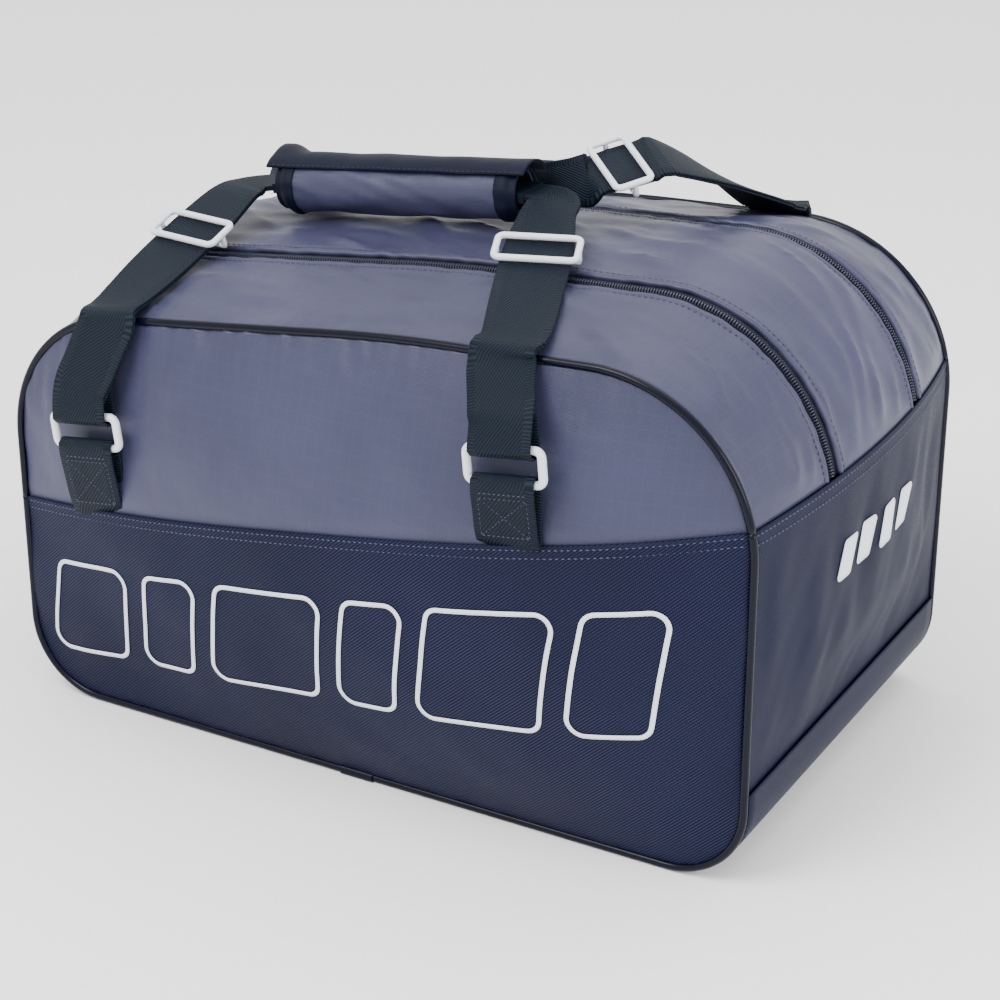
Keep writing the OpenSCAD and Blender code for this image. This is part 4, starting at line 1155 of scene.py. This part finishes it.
# ---- Inside
def divider():
    x = np.linspace(-HALF_L + 7, HALF_L - 7, 90)
    t = np.linspace(0, 1, 46)
    xx, tt = np.meshgrid(x, t)
    low = np.maximum(low_z(xx) + 7, 6.5)
    zz = low + (top_z(xx) - 7 - low) * tt
    quilt = np.abs(np.sin(zz * math.pi / 45)) ** 0.6
    rim = np.minimum(np.minimum(tt, 1 - tt) * 40, np.minimum(xx + HALF_L, HALF_L - xx) / 8)
    y = -1.2 - 0.9 * quilt * np.clip(rim, 0, 1)
    near = np.stack([xx, y, zz], axis=2)
    far = near * [1, -1, 1]
    rows, cols = xx.shape
    faces = grid_faces(rows, cols) + grid_faces(rows, cols, turned=True, start=rows * cols)
    index = np.arange(rows * cols).reshape(rows, cols)
    loop = np.concatenate([index[0], index[1:, -1], index[-1, -2::-1], index[-2:0:-1, 0]]).tolist()
    for a, b in zip(loop, loop[1:] + loop[:1]):
        faces.append((b, a, a + rows * cols, b + rows * cols))
    uv = np.stack([xx, zz], axis=2).reshape(-1, 2)
    verts = np.vstack([near.reshape(-1, 3), far.reshape(-1, 3)])
    obj = make_object("divider_padded", verts, faces, LINING, np.vstack([uv, uv]) * MM)
    to_root(obj, "lining", "divider")


# ---- Printed bars in place of the lettering
def lower_lift(x, z, side):
    """Lift of the lower panel's cloth off the plain swell."""
    below = seam_z(x) - z
    soft = waves(x, z, 70, 4.4 + side) * 2.4
    soft = soft + waves(x - z * 0.6, z + x * 0.6, 30, 6.6 + side) * 0.8
    soft *= np.clip(below / 30, 0, 1) * np.clip((z - low_z(x)) / 30, 0, 1)
    puckers = waves(x, z * 0.2, 7.0, 2.3 + side) * np.exp(-(z - low_z(x)) / 12) * 0.7
    return SEAM_BULGE * np.exp(-below / SEAM_BULGE_FADE) + soft + puckers


def slanted_bar(x0, x1, low, high, lean, r):
    """Loop of a slanted bar with round corners, in the panel's x and z."""
    corners = [np.array((x, low(x))) for x in (x0, x1)]
    corners += [np.array((x + lean, high(x + lean))) for x in (x1, x0)]
    points = []
    for k in range(4):
        points += rounded(corners[k - 1], corners[k], corners[(k + 1) % 4], r, 8)
    return np.array(points)


def stroke(loop, width):
    """Flat line of a given width along a closed loop."""
    path = np.vstack([loop, loop[:1]])
    path = resample(path, max(24, int(lengths(path)[-1] / 2.2)))
    t = unit(np.roll(path[:-1], -1, axis=0) - np.roll(path[:-1], 1, axis=0))
    n = np.stack([-t[:, 1], t[:, 0]], axis=1)
    return path[:-1] + n * width / 2, path[:-1] - n * width / 2


PRINT_LOW = lambda x: 33 + 0.142 * (x + 230)
PRINT_HIGH = lambda x: seam_z(x) - 40
PRINT_EDGES = ((-228, -168), (-152, -112), (-96, -18), (-2, 38), (54, 132), (148, 196))
PRINT_LEAN, PRINT_R, PRINT_STROKE, PRINT_LIFT = 12.0, 9.0, 2.8, 0.45
PRINT_THICK = 0.3


def printed(name, parts):
    obj = joined(name, parts, PRINT, smooth=True)
    solid = obj.modifiers.new("thickness", "SOLIDIFY")
    solid.thickness = PRINT_THICK * MM
    solid.offset = 0
    return to_root(bake_modifiers(obj), "white_plastic")


def print_piece():
    parts = []
    for x0, x1 in PRINT_EDGES:
        bar = slanted_bar(x0, x1, PRINT_LOW, PRINT_HIGH, PRINT_LEAN, PRINT_R)
        outer, inner = stroke(bar, PRINT_STROKE)
        rows = [face(x, z, lower_lift(x, z, -1) + PRINT_LIFT) for x, z in (outer.T, inner.T)]
        parts.append((np.vstack(rows), band(len(outer), 0, 1)))
    return printed("front_print_bars", parts)


def end_lift(y, d, high, length):
    """Lift of an end panel's cloth; d is the distance below the seam."""
    folds = waves(y, d * 0.28, 30, 31.0 + high) * 3.0 + waves(y + d * 0.4, d * 0.4, 17, 37.0) * 1.3
    folds = folds * ease((HALF_D - np.abs(y)) / 25) * ease(d / 35) * ease((length - d) / 20)
    return END_BULGE * np.exp(-d / SEAM_BULGE_FADE) + folds


MARK_BARS, MARK_START, MARK_PITCH, MARK_W = 4, -58, 26, 17
MARK_LOW = lambda y: -62.0
MARK_HIGH = lambda y: -38.0
MARK_SHRINK = (1, 0.66, 0.33, 0.02)


def end_print():
    """Four small solid bars on the high end."""
    line = end_line(True)
    s = lengths(line)
    crowns = crown(line, normals(line))
    parts = []
    for k in range(MARK_BARS):
        y0 = MARK_START + k * MARK_PITCH
        loop = slanted_bar(y0, y0 + MARK_W, MARK_LOW, MARK_HIGH, 8.0, 3.0)
        centre = loop.mean(axis=0)
        flat = np.vstack([centre + (loop - centre) * f for f in MARK_SHRINK])
        y, d = flat[:, 0], -flat[:, 1]
        at = sample(d, s, line)
        n = sample(d, s, normals(line))
        lift = np.interp(d, s, crowns) * (1 - (y / HALF_D) ** 2) + end_lift(y, d, True, s[-1]) + 0.5
        verts = np.stack([at[:, 0] + n[:, 0] * lift, y, at[:, 1] + n[:, 1] * lift], axis=1)
        count = len(loop)
        faces = band(count, 0, 1) + band(count, 1, 2) + band(count, 2, 3)
        faces.append(tuple(3 * count + i for i in range(count)))
        parts.append((verts, faces))
    return printed("end_print_bars", parts)


# ---- Building everything
def both_sides(side):
    name = side_name(side)
    to_lid(upper_panel(side), side, "slate_nylon", f"{name}_panel_upper")
    to_lid(lid_strip(side), side, "slate_nylon", f"{name}_gusset_strip")
    upper_piping = piping(side, UPPER, f"{name}_piping_upper_vinyl")
    to_lid(upper_piping, side, "piping_vinyl", f"{name}_piping_upper")
    to_root(lower_panel(side), "navy_fabric", f"{name}_panel_lower")
    lower_piping = piping(side, LOWER, f"{name}_piping_lower_vinyl")
    to_root(lower_piping, "piping_vinyl", f"{name}_piping_lower")
    to_root(panel_stitches(side), "navy_fabric")
    for lid in (True, False):
        tape, coil = zip_half(side, lid)
        part = "lid" if lid else "bag"
        for piece, kind in ((tape, "tape"), (coil, "coil")):
            node = f"{name}_zip_{kind}_{part}"
            if lid:
                to_lid(piece, side, f"zip_{kind}", node)
            else:
                to_root(piece, f"zip_{kind}", node)
    to_lid(hem_stitches(side, False), side, "slate_nylon")
    to_root(hem_stitches(side, True), "slate_nylon")
    for bar, foot, end in ((LOW_BAR, LOW_FOOT, "left"), (HIGH_BAR, HIGH_FOOT, "right")):
        webbing, thread = tab(side, bar, foot, f"{name}_tab_{end}")
        to_lid(webbing, side, "navy_webbing", f"{name}_anchor_tab_{end}")
        to_lid(thread, side, "navy_webbing")
        node = f"{name}_ring_{end}"
        to_body(ring(side, bar, foot, f"{node}_plastic"), f"{name}_handle", "white_plastic", node)


def build():
    both_sides(-1)
    both_sides(1)
    to_root(centre_gusset(), "slate_nylon", "center_gusset")
    for high, node in ((False, "end_panel_left"), (True, "end_panel_right")):
        panel, thread = end_panel(high)
        to_root(panel, "navy_fabric", node)
        to_root(thread, "navy_fabric")
    to_root(base_piece(), "navy_fabric", "base_panel")
    for node, parts in STRAPS.items():
        strap(node, *parts)
    rear_core()
    for node, place in SLIDES.items():
        slide_piece(node, *slide_on(*place))
    slide_piece("rear_slide_right", REAR_SLIDE, -REAR_RUN, REAR_ACROSS)
    grip()
    divider()
    print_piece()
    end_print()


def plain_materials():
    """Finishes for the CAD solids that stay in view."""
    finishes = {"base_board": BOARD, "grip_core": WEBBING}
    for side in ("front", "rear"):
        finishes[f"{side}_piping_sleeve"] = VINYL
        finishes[f"{side}_slider"] = SLIDER
        finishes[f"{side}_pull"] = SLIDER
    for name, material in finishes.items():
        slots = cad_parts[name].data.materials
        slots.clear()
        slots.append(material)


# ---- Camera, light and floor
CAMERA_AT = (751, -1311, 832)
CAMERA_VIEW = (-0.4449, 0.7896, -0.4226)
CAMERA_LENS, CAMERA_SENSOR = 96.8, 36.0
WORLD_STRENGTH = 1.5
FLOOR_HALF = 8000
FLOOR_COLOUR = (0.97, 0.97, 0.97, 1)
FLOOR_ROUGHNESS = 0.9
# Name, place, point aimed at, size in metres and power in watts.
LIGHTS = (
    ("key", (-0.5, -1.3, 1.9), (0, 0, 0.15), 1.1, 46),
    ("top", (0.1, 0.5, 1.9), (0, 0, 0.2), 1.6, 14),
    ("right", (1.9, -0.2, 0.9), (0.1, 0, 0.15), 1.0, 24),
)


def camera():
    data = bpy.data.cameras.new("camera")
    data.lens = CAMERA_LENS
    data.sensor_width = CAMERA_SENSOR
    obj = new_object("camera", data)
    obj.location = Vector(CAMERA_AT) * MM
    obj.rotation_euler = Vector(CAMERA_VIEW).to_track_quat("-Z", "Y").to_euler()
    bpy.context.scene.camera = obj


def area_light(name, at, aim, size, power):
    data = bpy.data.lights.new(name, "AREA")
    data.size = size
    data.energy = power
    obj = new_object(name, data)
    obj.location = at
    obj.rotation_euler = (Vector(aim) - Vector(at)).to_track_quat("-Z", "Y").to_euler()


def studio():
    world = bpy.data.worlds.new("studio")
    world.use_nodes = True
    background = world.node_tree.nodes["Background"]
    background.inputs[0].default_value = (1, 1, 1, 1)
    background.inputs[1].default_value = WORLD_STRENGTH
    bpy.context.scene.world = world
    for light in LIGHTS:
        area_light(*light)
    surface = Surface("floor", FLOOR_ROUGHNESS, Base_Color=FLOOR_COLOUR)
    half = FLOOR_HALF
    corners = [(-half, -half, 0), (half, -half, 0), (half, half, 0), (-half, half, 0)]
    obj = make_object("floor", corners, [(0, 1, 2, 3)], surface.material, smooth=False)


build()
plain_materials()
camera()
studio()
